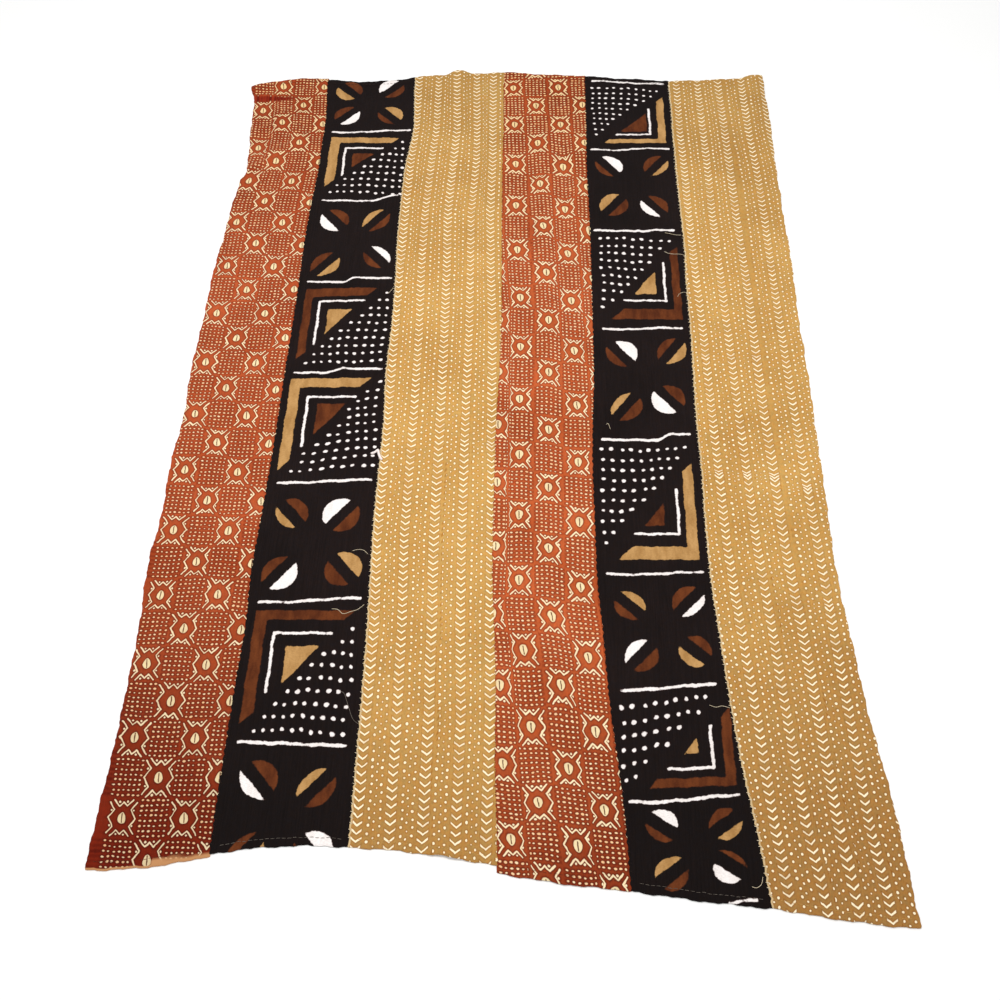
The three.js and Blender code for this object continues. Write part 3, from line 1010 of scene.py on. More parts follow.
def rust_motif(add, x, y, chance, bean_point, bean_size, stroke_half):
    """A bean in a frame of zigzags: the distance from their lines, whether that is the bean,
    and how far a point is in the bean's slit. The zigzags are drawn in one quarter, which the
    absolute values repeat in the others. bean_point is 1 where the beans are pointed at their
    far end, else -1."""
    size = add("MapRange", chance, 0.0, 1.0, 0.94, 1.08)
    quarter_x = add("Math", add("Math", x, operation="ABSOLUTE"), size, operation="MULTIPLY")
    quarter_y = add("Math", add("Math", y, operation="ABSOLUTE"), size, operation="MULTIPLY")
    quarter = add("CombineXYZ", quarter_x, quarter_y, 0.0)
    near = None
    for start, end in MOTIF_STROKES:
        distance = segment_distance(add, quarter, start, end)
        near = distance if near is None else add("Math", near, distance, operation="MINIMUM")
    for speck in MOTIF_SPECKS:
        distance = add("VectorMath", quarter, (*speck, 0), operation="DISTANCE")
        distance = add("Math", distance, 0.5, operation="SUBTRACT")
        near = add("Math", near, distance, operation="MINIMUM")
    narrow = add("Math", y, -BEAN_NARROWING * bean_point, 1.0, operation="MULTIPLY_ADD")
    half_width = add("Math", narrow, bean_size[0], operation="MULTIPLY")
    bean_x = add("Math", x, half_width, operation="DIVIDE")
    bean_y = add("Math", y, bean_size[1], operation="DIVIDE")
    bean = add("VectorMath", add("CombineXYZ", bean_x, bean_y, 0.0), operation="LENGTH")
    bean = add("Math", bean, 1.0, operation="SUBTRACT")
    bean = add("Math", bean, MEAN_BEAN_RADIUS, stroke_half, operation="MULTIPLY_ADD")
    is_bean = add("Math", bean, 3.0, operation="LESS_THAN")
    near = add("Math", near, bean, operation="MINIMUM")
    slit = segment_distance(add, add("CombineXYZ", x, y, 0.0), *BEAN_SLIT)
    slit = add("MapRange", slit, 0.45, 1.25, 1.0, 0.0)
    return near, is_bean, slit


DOTS_ACROSS = 6
DOTS_DOWN = 8
DOT_SQUEEZE = 0.72  # dots are wider across the strip than along it


def rust_dots(add, x, y, column, row, dot_pitch):
    """A cell's rows of dots: the distance from the nearest dot, and that dot's own chance."""
    pitch_x, pitch_y = dot_pitch
    dot_u = add("Math", x, pitch_x, operation="DIVIDE")
    dot_v = add("Math", y, pitch_y, operation="DIVIDE")
    dot_i = add("Math", dot_u, operation="FLOOR")
    dot_j = add("Math", dot_v, operation="FLOOR")
    dot = add("CombineXYZ", add("Math", column, 11.0, dot_i, operation="MULTIPLY_ADD"),
              add("Math", row, 13.0, dot_j, operation="MULTIPLY_ADD"), 0.0)
    luck, stray = add("TexWhiteNoise", dot, out=None, noise_dimensions="2D")
    stray_x, stray_y, _ = add("SeparateXYZ", stray, out=None)
    centre_x = add("MapRange", stray_x, 0.0, 1.0, 0.42, 0.58)
    centre_y = add("MapRange", stray_y, 0.0, 1.0, 0.42, 0.58)
    off_x = add("Math", dot_u, dot_i, operation="SUBTRACT")
    off_x = add("Math", off_x, centre_x, operation="SUBTRACT")
    off_x = add("Math", off_x, pitch_x * DOT_SQUEEZE, operation="MULTIPLY")
    off_y = add("Math", dot_v, dot_j, operation="SUBTRACT")
    off_y = add("Math", off_y, centre_y, operation="SUBTRACT")
    off_y = add("Math", off_y, pitch_y, operation="MULTIPLY")
    spot = add("VectorMath", add("CombineXYZ", off_x, off_y, 0.0), operation="LENGTH")
    spot = add("Math", spot, add("MapRange", luck, 0.0, 1.0, 0.0, 0.5), operation="SUBTRACT")

    # Beyond the outermost dots the distance climbs steeply
    past_x = add("Math", x, operation="ABSOLUTE")
    past_x = add("Math", past_x, DOTS_ACROSS / 2 * pitch_x + 0.4, operation="SUBTRACT")
    past_x = add("Math", past_x, 4.0, operation="MULTIPLY")
    past_y = add("Math", y, operation="ABSOLUTE")
    past_y = add("Math", past_y, DOTS_DOWN / 2 * pitch_y - 0.6, operation="SUBTRACT")
    past_y = add("Math", past_y, 4.0, operation="MULTIPLY")
    beyond = add("Math", past_x, past_y, operation="MAXIMUM")
    return add("Math", spot, beyond, operation="MAXIMUM"), luck


def rust_material(name, cell, dot_pitch, bean_point, bean_size, stroke_half, dyes, faint):
    """Handwoven cotton with rust dye, its motifs and dots left pale by the painter: matt, dry
    and mottled. Each cell of the pattern holds a bean in a frame of zigzags, or rows of dots,
    by turns. faint is how much of the paint is left at the near end."""
    material, add = new_material(name)
    cell_width, cell_height = cell
    u, v, _ = add("SeparateXYZ", add("UVMap", uv_map="Pattern"), out=None)
    place = add("TexCoord", out=3)
    stray_x, stray_y = hand_stray(add, place, 95.0, 3.4)
    column = add("Math", u, operation="FLOOR")
    row = add("Math", v, operation="FLOOR")
    x = add("Math", add("Math", u, column, operation="SUBTRACT"), 0.5, operation="SUBTRACT")
    x = add("Math", x, cell_width, stray_x, operation="MULTIPLY_ADD")
    y = add("Math", 0.5, add("Math", v, row, operation="SUBTRACT"), operation="SUBTRACT")
    y = add("Math", y, cell_height, stray_y, operation="MULTIPLY_ADD")
    chance = add("TexWhiteNoise", add("CombineXYZ", column, row, 0.0), noise_dimensions="2D")
    odd = add("Math", add("Math", column, row, operation="ADD"), 2.0, operation="MODULO")
    is_motif = add("Math", odd, 0.5, operation="LESS_THAN")
    near, is_bean, slit = rust_motif(add, x, y, chance, bean_point, bean_size, stroke_half)
    spot, luck = rust_dots(add, x, y, column, row, dot_pitch)

    # The paint's own width, and the deeper dye that gathers beside it
    shape = add("Mix", is_motif, spot, near, data_type="FLOAT")
    width = add("TexNoise", place, 60.0, 2.0, 0.5)
    width = add("MapRange", width, 0.3, 0.7, stroke_half - 0.3, stroke_half + 0.35)
    _, north, _ = add("SeparateXYZ", place, out=None)
    width = add("Math", width, add("MapRange", north, *FAR_Y, 0.0, 0.28), operation="ADD")
    gap = add("Math", shape, width, operation="SUBTRACT")
    paint = add("MapRange", gap, -SOFT, SOFT, 1.0, 0.0)
    halo = add("MapRange", gap, 0.2, 3.2, 0.0, 1.0)
    halo = add("Mix", halo, (0.55, 0.33, 0.26, 1), (1.14, 1.12, 1.08, 1), data_type="RGBA")

    deep, raw, _ = add("SeparateXYZ", add("Attribute", out=1, attribute_name="darker_and_raw"), out=None)
    far = add("MapRange", north, *FAR_Y, 0.0, 1.0)
    # Painted shade: the rust ground darkens towards the far end, and turns more red there
    redder = add("Mix", far, (1, 1, 1, 1), (0.87, 0.71, 0.6, 1), data_type="RGBA")
    ground = dyed_ground(add, *dyes, 0.1)
    ground = add("Mix", 1.0, ground, redder, data_type="RGBA", blend_type="MULTIPLY")
    ground = add("Mix", deep, ground, hex_linear("#8a2a13"), data_type="RGBA")
    ground = add("Mix", 1.0, ground, halo, data_type="RGBA", blend_type="MULTIPLY")

    dot_tone = add("Mix", luck, hex_linear("#ffe6ba"), hex_linear("#f4c08c"), data_type="RGBA")
    stroke_tone = add("Mix", is_bean, hex_linear("#fae3b8"), hex_linear("#efd9aa"), data_type="RGBA")
    pale = add("Mix", is_motif, dot_tone, stroke_tone, data_type="RGBA")
    slit = add("Math", slit, is_motif, operation="MULTIPLY")
    pale = add("Mix", slit, pale, hex_linear("#5f3520"), data_type="RGBA")
    yellowed = add("Mix", far, (1, 1, 1, 1), (1.02, 0.9, 0.74, 1), data_type="RGBA")
    pale = add("Mix", 1.0, pale, yellowed, data_type="RGBA", blend_type="MULTIPLY")

    # Worn paint lets the dye through, and none is left where the strip is a deeper red
    worn = add("TexNoise", place, 38.0, 3.0, 0.6)
    worn = add("MapRange", worn, 0.25, 0.6, 0.8, 1.0)
    worn = add("Math", worn, add("MapRange", north, *FAR_Y, 1.0, 0.96), operation="MULTIPLY")
    worn = add("Math", worn, add("MapRange", north, -0.8, -0.3, faint, 1.0), operation="MULTIPLY")
    worn = add("Math", worn, add("MapRange", deep, 0.2, 0.7, 1.0, 0.0), operation="MULTIPLY")
    cover = add("Math", add("Math", paint, worn, operation="MULTIPLY"),
                top_only(add, 0.3), operation="MULTIPLY")
    colour = add("Mix", cover, ground, pale, data_type="RGBA")
    colour = add("Mix", raw, colour, hex_linear("#c08a5c"), data_type="RGBA")
    cotton_finish(add, colour, cover, 0.35)
    return material


SELVEDGE_WIDTH = 2.6


def selvedge(add, colour):
    """Mixes a beige rim in beside the edges that have a selvedge, in an uneven width."""
    left, right, _ = add("SeparateXYZ", add("UVMap", uv_map="Selvedge"), out=None)
    edge = add("Math", left, right, operation="MINIMUM")
    uneven = add("TexNoise", add("TexCoord", out=3), 130.0, 2.0, 0.6)
    edge = add("Math", add("Math", uneven, 2.0, operation="MULTIPLY"), edge,
               operation="SUBTRACT")
    share = add("MapRange", edge, 0.6 - SELVEDGE_WIDTH, 1.4 - SELVEDGE_WIDTH, 0.0, 0.75)
    return add("Mix", share, colour, hex_linear("#d9c092"), data_type="RGBA")


CHEVRON_STEEPNESS = 0.78  # how far an arm climbs for each millimetre across
CHEVRON_SQUARE = 0.79  # turns a distance along the strip into one square to an arm
# Each column of gold dots: its X from the chevrons, its shift by part of a row, and how much
# smaller its dots are
GOLD_DOTS = ((-32.0, 0.0, 0.0), (-16.0, 0.1, 0.1), (-24.0, 0.5, 0.6))


def chevrons(add, across, row, column, luck, crowded):
    """The distance from the nearest chevron of a column, whose arms climb away from its
    point: how far off its arm's line, or past the arm's tip. Where the cloth is gathered, the
    rows lie crowded, so the slope and the distance are worked out for that."""
    arm = add("Math", across, operation="ABSOLUTE")
    slant = add("Math", crowded, -CHEVRON_STEEPNESS / CHEVRON_PITCH, operation="MULTIPLY")
    bent = add("Math", arm, slant, row, operation="MULTIPLY_ADD")
    chevron_row = add("Math", bent, operation="FLOOR")
    stripe = add("Math", bent, chevron_row, operation="SUBTRACT")
    stripe = add("Math", stripe, 0.5, operation="SUBTRACT")
    stripe = add("Math", stripe, operation="ABSOLUTE")
    scale = add("Math", CHEVRON_PITCH * CHEVRON_SQUARE, crowded, operation="DIVIDE")
    stripe = add("Math", stripe, scale, operation="MULTIPLY")
    place = add("CombineXYZ", column, chevron_row, 0.0)
    chance = add("TexWhiteNoise", place, noise_dimensions="2D")
    reach = add("Math", add("MapRange", chance, 0.0, 1.0, -0.6, 0.6),
                add("MapRange", luck, 0.0, 1.0, 6.4, 8.6), operation="ADD")
    tip = add("Math", add("Math", arm, reach, operation="SUBTRACT"), 1.1, operation="ADD")
    return add("Math", stripe, tip, operation="MAXIMUM")


def gold_dots(add, across, row, column):
    """The distance from the nearest dot of the columns beside the chevrons."""
    near = None
    for middle, shift, small in GOLD_DOTS:
        dot_row = add("Math", row, shift, operation="ADD")
        index = add("Math", dot_row, operation="FLOOR")
        dot = add("CombineXYZ", add("Math", column, 5.0, middle, operation="MULTIPLY_ADD"),
                  index, 0.0)
        fate, stray = add("TexWhiteNoise", dot, out=None, noise_dimensions="2D")
        stray_x, stray_y, _ = add("SeparateXYZ", stray, out=None)
        off_x = add("Math", add("Math", across, middle, operation="SUBTRACT"),
                    add("MapRange", stray_x, 0.0, 1.0, -0.8, 0.8), operation="ADD")
        off_y = add("Math", dot_row, index, operation="SUBTRACT")
        off_y = add("Math", off_y, add("MapRange", stray_y, 0.0, 1.0, 0.42, 0.58),
                    operation="SUBTRACT")
        off_y = add("Math", off_y, CHEVRON_PITCH * 0.92, operation="MULTIPLY")
        spot = add("VectorMath", add("CombineXYZ", off_x, off_y, 0.0), operation="LENGTH")
        radius = add("MapRange", fate, 0.0, 1.0, 0.45 - small, 0.9 - small)
        spot = add("Math", spot, radius, operation="SUBTRACT")
        near = spot if near is None else add("Math", near, spot, operation="MINIMUM")
    return near


def gold_material():
    """Handwoven cotton dyed gold, with columns of pale chevrons and dots: matt, warm and
    mottled, its selvedges beige."""
    material, add = new_material("gold_dyed_handwoven_cotton")
    u, v, _ = add("SeparateXYZ", add("UVMap", uv_map="Pattern"), out=None)
    place = add("TexCoord", out=3)
    stray_x, stray_y = hand_stray(add, place, 110.0, 2.6)
    column = add("Math", u, operation="FLOOR")
    luck = add("TexWhiteNoise", add("CombineXYZ", column, 3.0, 0.0), noise_dimensions="2D")
    span = CHEVRON_BEFORE + CHEVRON_AFTER
    across = add("Math", u, column, operation="SUBTRACT")
    across = add("Math", across, CHEVRON_BEFORE / span, operation="SUBTRACT")
    across = add("Math", across, span, stray_x, operation="MULTIPLY_ADD")
    row = add("Math", v, luck, operation="ADD")
    row = add("Math", stray_y, 1 / CHEVRON_PITCH, row, operation="MULTIPLY_ADD")
    crowding = add("Attribute", out=1, attribute_name="crowding")
    crowded, step, _ = add("SeparateXYZ", crowding, out=None)
    near = gold_dots(add, across, row, column)
    chevron = chevrons(add, across, row, column, luck, crowded)

    shape = add("Math", near, chevron, operation="MINIMUM")
    width = add("TexNoise", place, 60.0, 2.0, 0.5)
    width = add("MapRange", width, 0.3, 0.7, 0.9, 1.4)
    gap = add("Math", shape, width, operation="SUBTRACT")
    paint = add("MapRange", gap, -SOFT, SOFT, 1.0, 0.0)
    paint = add("Math", paint, add("MapRange", step, 0.9, 1.0, 1.0, 0.0), operation="MULTIPLY")
    halo = add("MapRange", gap, 0.2, 2.2, 0.0, 1.0)
    halo = add("Mix", halo, (0.82, 0.68, 0.5, 1), (1.06, 1.07, 1.12, 1), data_type="RGBA")

    ground = dyed_ground(add, "#c59953", "#b48745", "#9c7039", 0.07)
    ground = add("Mix", 1.0, ground, halo, data_type="RGBA", blend_type="MULTIPLY")
    worn = add("TexNoise", place, 26.0, 3.0, 0.65)
    worn = add("MapRange", worn, 0.3, 0.5, 0.62, 1.0)
    cover = add("Math", add("Math", paint, worn, operation="MULTIPLY"),
                top_only(add, 0.35), operation="MULTIPLY")
    colour = add("Mix", cover, ground, hex_linear("#ffefcb"), data_type="RGBA")
    cotton_finish(add, selvedge(add, colour), cover, 0.3)
    return material


BLOCK_DOT = (13.6, 18.5)  # turns a place between a block's dots into millimetres
SLANTING_SIDE = 0.97  # no dots where the shares of a block's columns and rows add up to more
OUT_OF_BLOCK = 9.0  # how far outside of all dots a point counts there, in millimetres


def block_dots(add):
    """How far inside a dot of the black strips a point is. The dots lie by their place in a
    block's rows and columns, and are left out beyond the block's slanting side."""
    u, v, _ = add("SeparateXYZ", add("UVMap", uv_map="Pattern"), out=None)
    block = add("Attribute", out=1, attribute_name="dot_block")
    over_columns, over_rows, field = add("SeparateXYZ", block, out=None)
    i = add("Math", add("Math", u, 0.5, operation="ADD"), operation="FLOOR")
    j = add("Math", add("Math", v, 0.5, operation="ADD"), operation="FLOOR")
    share = add("Math", i, over_columns, add("Math", j, over_rows, operation="MULTIPLY"),
                operation="MULTIPLY_ADD")
    kept = add("Math", share, SLANTING_SIDE, operation="LESS_THAN")
    kept = add("Math", kept, add("Math", field, 0.0, operation="GREATER_THAN"),
               operation="MULTIPLY")
    place = add("CombineXYZ", i, j, 0.0)
    luck, stray = add("TexWhiteNoise", place, out=None, noise_dimensions="2D")
    stray_x, stray_y, _ = add("SeparateXYZ", stray, out=None)
    off_x = add("Math", add("Math", u, i, operation="SUBTRACT"),
                add("MapRange", stray_x, 0.0, 1.0, -0.1, 0.1), operation="ADD")
    off_y = add("Math", add("Math", v, j, operation="SUBTRACT"),
                add("MapRange", stray_y, 0.0, 1.0, -0.09, 0.09), operation="ADD")
    off = add("CombineXYZ", add("Math", off_x, BLOCK_DOT[0], operation="MULTIPLY"),
              add("Math", off_y, BLOCK_DOT[1], operation="MULTIPLY"), 0.0)
    dot = add("Math", add("MapRange", luck, 0.0, 1.0, 2.3, 3.1),
              add("VectorMath", off, operation="LENGTH"), operation="SUBTRACT")
    outside = add("Math", add("Math", kept, 1.0, operation="SUBTRACT"), OUT_OF_BLOCK,
                  operation="MULTIPLY")
    return add("Math", add("Math", dot, kept, operation="MULTIPLY"), outside, operation="ADD")


def black_material():
    """Handwoven cotton dyed with black mud, with figures in white, tan and brown: matt, nearly
    black and a little chalky, its paint thick and slightly uneven. The white has a thin
    reddish rim, where its first coat shows."""
    material, add = new_material("mud_dyed_handwoven_cotton")
    place = add("TexCoord", out=3)
    shake = add("TexNoise", place, 160.0, 2.0, 0.6)
    shake = add("MapRange", shake, 0.3, 0.7, -0.8, 0.8)
    figures = add("Attribute", out=1, attribute_name="figures")
    white, tan, brown = add("SeparateXYZ", figures, out=None)
    white = add("Math", white, block_dots(add), operation="MAXIMUM")
    colour = dyed_ground(add, "#1c1312", "#150e0d", "#120c0b", 0.3)
    cover = None
    for inside, hexes, soft in (
        (brown, ("#6b371a", "#4f2511"), 0.9),
        (tan, ("#c0945d", "#a57a46"), 0.55),
        (add("Math", white, 0.8, operation="ADD"), ("#3a1710", "#2a120d"), 0.5),
        (white, ("#f6efec", "#ece3de"), 0.5),
    ):
        gap = add("Math", inside, shake, operation="ADD")
        paint = add("MapRange", gap, -soft, soft, 0.0, 1.0)
        paint = add("Math", paint, top_only(add, 0.12), operation="MULTIPLY")
        clouds = add("TexNoise", add("Mapping", place, None, None, (60, 22, 1)), 1.0, 3.0, 0.6)
        clouds = add("MapRange", clouds, 0.35, 0.65, 0.0, 1.0)
        tone = add("Mix", clouds, hex_linear(hexes[0]), hex_linear(hexes[1]), data_type="RGBA")
        fibre = add("TexNoise", add("Mapping", place, None, None, (260, 620, 1)), 1.0, 2.0, 0.6)
        fibre = add("MapRange", fibre, 0.3, 0.7, 0.86, 1.1)
        tone = add("Mix", 1.0, tone, fibre, data_type="RGBA", blend_type="MULTIPLY")
        colour = add("Mix", paint, colour, tone, data_type="RGBA")
        cover = paint if cover is None else add("Math", cover, paint, operation="MAXIMUM")
    cotton_finish(add, colour, cover, 0.5)
    return material


def thread_material(name, light, dark):
    """Spun cotton sewing thread: matt, with the twist of its ply in its colour and bump."""
    material, add = new_material(name)
    ply = add("TexNoise", add("TexCoord", out=3), 900.0, 2.0, 0.6)
    ply = add("MapRange", ply, 0.35, 0.65, 0.0, 1.0)
    colour = add("Mix", ply, hex_linear(light), hex_linear(dark), data_type="RGBA")
    shader = add("BsdfPrincipled", named={
        "Base Color": colour, "Roughness": 0.9, "Specular IOR Level": 0.2,
        "Normal": add("Bump", 0.4, 0.0002, None, ply),
    })
    add("OutputMaterial", shader, out=None)
    return material


def board_material():
    """A white painted board: matt, and very faintly cloudy."""
    material, add = new_material("matt_white_board")
    grain = add("TexNoise", add("TexCoord", out=3), 3.0, 2.0, 0.5)
    tone = add("Mix", grain, hex_linear("#fdfdfc"), hex_linear("#fafaf9"), data_type="RGBA")
    shader = add("BsdfPrincipled", named={"Base Color": tone, "Roughness": 0.95})
    add("OutputMaterial", shader, out=None)
    return material


# The strips

left_rust = rust_material(
    "rust_dyed_handwoven_cotton_left", cell=(2 * MOTIF_HALF_LEFT, MOTIF_ROW_LEFT[2]),
    dot_pitch=(7.6, 7.3), bean_point=1, bean_size=(5.8, 8.1), stroke_half=0.93,
    dyes=("#af522d", "#97401f", "#651806"), faint=0.82,
)
right_rust = rust_material(
    "rust_dyed_handwoven_cotton_right", cell=(2 * MOTIF_HALF_RIGHT, MOTIF_ROW_RIGHT[2]),
    dot_pitch=(8.2, 7.5), bean_point=-1, bean_size=(6.2, 8.9), stroke_half=1.14,
    dyes=("#b75a31", "#9f4924", "#681b08"), faint=1.0,
)
black_cotton = black_material()
gold_cotton = gold_material()
cotton = {
    "strip_rust_left": left_rust,
    "strip_black_left": black_cotton,
    "strip_gold_left": gold_cotton,
    "strip_rust_right": right_rust,
    "strip_black_right": black_cotton,
    "strip_gold_right": gold_cotton,
}
BEIGE_SEAMS = ("seam_b", "seam_e")  # where a gold strip's selvedge shows
NO_SELVEDGE = 50.0  # added to the distance from an edge that has none


def pattern_of(name, surface):
    """A strip's pattern: its UV map, and the further attributes that it needs."""
    x, y = surface["x"], surface["y"]
    if name == "strip_rust_left":
        return rust_left_phase(x, y), {"darker_and_raw": rust_darker_and_raw(x, y, surface["from_end"])}
    if name == "strip_rust_right":
        return rust_right_phase(x, y), {"darker_and_raw": np.zeros((*x.shape, 3))}
    if name in ("strip_gold_left", "strip_gold_right"):
        table = GOLD_LEFT_COLUMNS if name == "strip_gold_left" else GOLD_RIGHT_COLUMNS
        phase, crowded = gold_phase(x, y, table)
        return phase, {"crowding": crowded}
    left = name == "strip_black_left"
    turned = 1 if left else -1
    figures = paint_distances(
        x, y, SEPARATORS_LEFT if left else SEPARATORS_RIGHT,
        LEAVES_LEFT if left else LEAVES_RIGHT, CORNERS_LEFT if left else CORNERS_RIGHT, turned,
    )
    places, counts = dot_places(x, y, DOTS_LEFT if left else DOTS_RIGHT, turned)
    return places, {"figures": figures, "dot_block": counts}


sheets = {}
for strip in strips:
    name = strip["name"]
    surface = strip_surface(strip)
    pattern, fields = pattern_of(name, surface)
    values = {
        key: ("FLOAT_VECTOR", "vector", field.reshape(-1, 3)) for key, field in fields.items()
    }
    values["underside"] = ("FLOAT", "value", np.repeat([0.0, 1.0], surface["x"].size))
    rims = np.stack([
        surface["from_" + side] + (0.0 if strip[side] in BEIGE_SEAMS else NO_SELVEDGE)
        for side in ("left", "right")
    ], -1).reshape(-1, 2)
    piece = sheet_object(
        "cloth_" + name.removeprefix("strip_"), surface, values,
        {"Pattern": pattern.reshape(-1, 2), "Selvedge": rims},
    )
    piece.data.materials.append(cotton[name])
    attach(piece, "root")
    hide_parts(name)
    sheets[name] = piece

# Sewing

TUBE_SIDES = 6
END_TAPER = 0.55  # how wide a thread is at its ends, as a share
SUNK = 0.35  # how deep a stitch's ends go into the cloth


def tubes(name, paths, radius):
    """Threads as tubes: a ring of six points about each point of each path, square to its
    way and thinner at both ends, joined into faces and closed at the ends. paths is an array
    of threads by points by three, in millimetres."""
    count, steps, _ = paths.shape
    way = np.gradient(paths, axis=1)
    way /= np.linalg.norm(way, axis=2, keepdims=True)
    side = np.cross(way, (0.0, 0.0, 1.0))
    side /= np.maximum(np.linalg.norm(side, axis=2, keepdims=True), 1e-6)
    up = np.cross(side, way)
    taper = np.full(steps, 1.0)
    taper[[0, -1]] = END_TAPER
    turn = np.arange(TUBE_SIDES) * 2 * np.pi / TUBE_SIDES
    ring = (
        side[:, :, None, :] * np.cos(turn)[:, None] + up[:, :, None, :] * np.sin(turn)[:, None]
    )
    points = paths[:, :, None, :] + radius * taper[:, None, None] * ring
    number = np.arange(count * steps * TUBE_SIDES).reshape(count, steps, TUBE_SIDES)
    here, ahead = number[:, :-1], number[:, 1:]
    walls = np.stack([here, ahead, np.roll(ahead, -1, 2), np.roll(here, -1, 2)], -1)
    first, last = number[:, 0], number[:, -1]
    caps = [
        first[:, [0, 1, 2, 3]], first[:, [0, 3, 4, 5]],
        last[:, [3, 2, 1, 0]], last[:, [5, 4, 3, 0]],
    ]
    quads = np.concatenate([walls.reshape(-1, 4), *caps])
    return link(name, quad_mesh(name, points.reshape(-1, 3), quads))


def surface_height(x, y):
    """The height of the cloth's face away from hems and seams."""
    return lift(x, y) + THICKNESS + crumple(x, y)


def arcs(starts, ends, rise, steps):
    """Stitches that show: each goes from start to end, up to rise above the cloth between and
    into it at both ends, as half a sine wave."""
    t = np.linspace(0, 1, steps)[None, :, None]
    flat = starts[:, None, :] + (ends - starts)[:, None, :] * t
    x, y = flat[..., 0], flat[..., 1]
    z = surface_height(x, y) - SUNK + (rise + SUNK) * np.sin(np.pi * t[..., 0])
    return np.stack([x, y, z], -1)


companions = {name: [] for name in sheets}


def sewn(piece, thread, strip_name):
    """Gives a piece of sewing its thread, and lists it with the strip that it belongs to."""
    piece.data.materials.append(thread)
    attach(piece, "root")
    companions[strip_name].append(piece)


undyed = thread_material("undyed_spun_cotton_thread", "#e9dcc2", "#c9b48f")
gold_thread = thread_material("gold_spun_cotton_thread", "#d8b06a", "#b98c48")
dark_thread = thread_material("dark_spun_cotton_thread", "#3a2a22", "#241a17")
russet_thread = thread_material("russet_spun_cotton_thread", "#7a3822", "#552112")
grey_thread = thread_material("grey_spun_cotton_thread", "#857b70", "#4a423c")
white_yarn = thread_material("white_cotton_yarn", "#fbf2ee", "#e9d8d2")

# A row for each seam: the side on which its upper strip lies, the strip that the stitches go
# with, the Y of the first and the last stitch and their spacing, how far a stitch reaches
# beyond the seam, its radius and its thread
SEAM_STITCH_COLUMNS = (
    "line", "over_side", "with", "near", "far", "every", "beyond", "radius", "thread",
)
SEAM_STITCHES = (
    ("seam_a", 1, "strip_black_left", -800, 846, 12.4, 2.4, 0.3, dark_thread),
    ("seam_b", 1, "strip_gold_left", -786, 858, 9.4, 3.4, 0.5, undyed),
    ("seam_c", -1, "strip_gold_left", -808, 874, 12.4, 2.6, 0.5, gold_thread),
    ("seam_d", 1, "strip_black_right", -836, 868, 12.4, 2.4, 0.3, dark_thread),
    ("seam_e", 1, "strip_gold_right", -852, 856, 9.4, 3.6, 0.55, undyed),
)
SEAM_STITCH_RISE = 0.9
SEAM_STITCH_STRAY = 1.6
SEAM_STITCH_BITE = (1.6, 2.8)  # how far into the upper strip a stitch starts
SEAM_STITCH_SLANT = (0.5, 3.5)  # how much further along the seam it ends
for row in SEAM_STITCHES:
    seam = dict(zip(SEAM_STITCH_COLUMNS, row))
    y = np.arange(seam["near"], seam["far"], seam["every"])
    y = y + rng.uniform(-SEAM_STITCH_STRAY, SEAM_STITCH_STRAY, len(y))
    x = line_x(seam["line"], y)
    side = seam["over_side"]
    starts = np.stack([x + side * rng.uniform(*SEAM_STITCH_BITE, len(y)), y], -1)
    reach = seam["beyond"] * rng.uniform(0.8, 1.2, len(y))
    ends = np.stack([x - side * reach, y + rng.uniform(*SEAM_STITCH_SLANT, len(y))], -1)
    path = arcs(starts, ends, SEAM_STITCH_RISE, 7)
    sewn(tubes(seam["line"] + "_stitches", path, seam["radius"]), seam["thread"], seam["with"])

HEM_STITCH = 6.4  # how much of each running stitch shows,
HEM_STEP = 7.6 / 180  # and their spacing, as a share of a strip's mean width
HEM_STITCH_RISE = 0.7
HEM_STITCH_RADIUS = 0.3
HEM_STITCH_STRAY = 0.7
HEM_ENDS_FREE = 4.0  # no stitches this close to a hem's ends
HEM_COLUMNS = ("dye", "near", "far")
HEM_THREADS = (
    ("rust", russet_thread, russet_thread),
    ("black", grey_thread, dark_thread),
    ("gold", gold_thread, gold_thread),
)
hem_threads = {row[0]: dict(zip(HEM_COLUMNS, row)) for row in HEM_THREADS}
for strip in strips:
    name = strip["name"]
    for end, sign in (("near", 1), ("far", -1)):
        s = np.arange(0.04, 0.95, HEM_STEP)
        bow = 4 * s * (1 - s)
        y = mix(strip[end + "_left"], strip[end + "_right"], s) - sign * strip[end + "_bow"] * bow
        y = y + sign * STITCH_LINE
        left, right = line_x(strip["left"], y), line_x(strip["right"], y)
        if strip["left"] == "left_edge":
            left = left + inset_at(y)
        x = mix(left + HEM_ENDS_FREE, right - HEM_ENDS_FREE, s)
        y = y + rng.uniform(-HEM_STITCH_STRAY, HEM_STITCH_STRAY, len(y))
        slope = np.gradient(y, x)
        starts = np.stack([x, y], -1)
        ends = starts + HEM_STITCH * np.stack([0 * x + 1, slope], -1)
        path = arcs(starts, ends, HEM_STITCH_RISE, 6)
        path[..., 2] += HEM_RISE * 0.6
        stitches = tubes(
            "hem_stitches_" + end + name.removeprefix("strip"), path, HEM_STITCH_RADIUS
        )
        sewn(stitches, hem_threads[name.split("_")[1]][end], name)


def laid_line(points, steps):
    """A smooth line in X and Y through the points of a loose thread: a cubic whose slope at
    each point is that of the line between its neighbours."""
    p = np.array(points, float)
    slope = np.gradient(p, axis=0)
    t = np.linspace(0, len(p) - 1, steps)
    k = np.minimum(t.astype(int), len(p) - 2)
    f = (t - k)[:, None]
    return (
        (2 * f**3 - 3 * f**2 + 1) * p[k] + (f**3 - 2 * f**2 + f) * slope[k]
        + (3 * f**2 - 2 * f**3) * p[k + 1] + (f**3 - f**2) * slope[k + 1]
    )


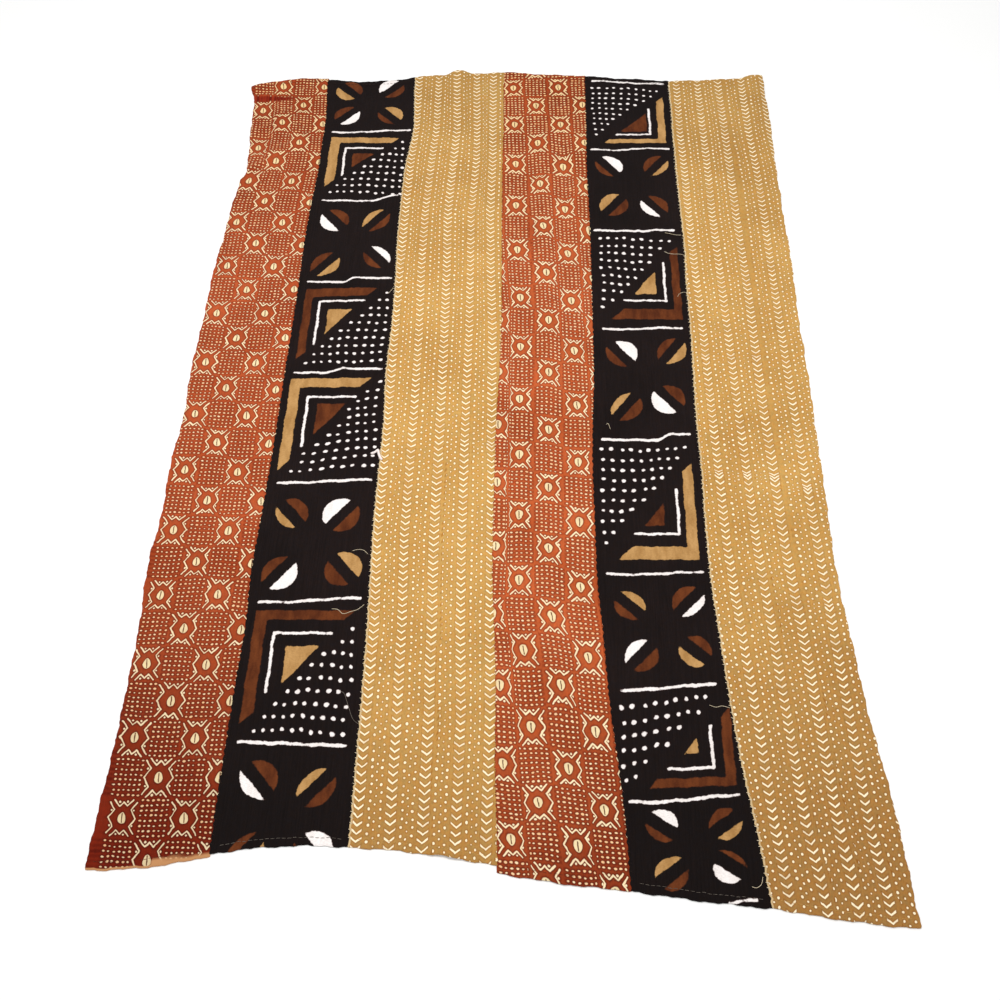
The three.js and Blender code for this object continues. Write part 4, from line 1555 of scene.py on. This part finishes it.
# Loose ends of thread on the cloth: each goes through a few points and lies on the face
LOOSE_COLUMNS = ("name", "radius", "thread", "with", "points")
LOOSE_THREADS = (
    ("yarn_end", 2.3, white_yarn, "strip_gold_left",
     ((-240, -134), (-233, -131), (-228, -126), (-226, -133), (-223, -141), (-219, -146))),
    ("thread_end_black_near", 0.35, grey_thread, "strip_black_left",
     ((-251, -567), (-244, -571), (-238, -585), (-232, -600), (-226, -612), (-217, -619))),
    ("thread_end_black_middle", 0.4, undyed, "strip_black_left",
     ((-278, -430), (-268, -431), (-259, -438), (-247, -434), (-236, -430), (-226, -421))),
    ("thread_end_seam_middle", 0.35, undyed, "strip_black_left",
     ((-255, -325), (-246, -322), (-236, -323), (-228, -330))),
    ("thread_end_black_far", 0.35, undyed, "strip_black_left",
     ((-238, 233), (-233, 240), (-229, 247), (-224, 243), (-228, 236))),
    ("thread_end_right_far", 0.35, undyed, "strip_black_right",
     ((305, 355), (312, 350), (322, 348), (334, 348), (344, 347))),
    ("thread_end_right_upper", 0.35, undyed, "strip_black_right",
     ((309, 405), (318, 403), (330, 400), (342, 399))),
    ("thread_end_right_middle", 0.35, undyed, "strip_black_right",
     ((324, 238), (328, 245), (335, 249), (342, 249))),
    ("thread_end_right_near", 0.35, undyed, "strip_black_right",
     ((320, -577), (330, -580), (340, -578), (352, -581))),
    ("thread_end_right_hem", 0.35, undyed, "strip_black_right",
     ((359, -840), (366, -841), (373, -836), (376, -826))),
    ("thread_end_rust_right", 0.35, undyed, "strip_black_right",
     ((177, -62), (180, -60), (182, -64), (184, -72))),
)
LOOSE_STEPS = 26
LOOSE_CLEARANCE = 0.5
RESTING_SHARE = 0.7  # how high a thread's middle lies, as a share of its radius
for row in LOOSE_THREADS:
    loose = dict(zip(LOOSE_COLUMNS, row))
    x, y = laid_line(loose["points"], LOOSE_STEPS).T
    z = surface_height(x, y) + LOOSE_CLEARANCE + RESTING_SHARE * loose["radius"]
    path = np.stack([x, y, z], -1)[None]
    sewn(tubes(loose["name"], path, loose["radius"]), loose["thread"], loose["with"])

# Floor

half = FLOOR_SIZE / 2 / MM
corners = np.array([(-half, -half), (half, -half), (half, half), (-half, half)])
level = np.full(4, -FLOOR_DROP / MM)
floor = link("floor", quad_mesh("floor", np.column_stack([corners, level]), np.array([[0, 1, 2, 3]])))
floor.data.materials.append(board_material())
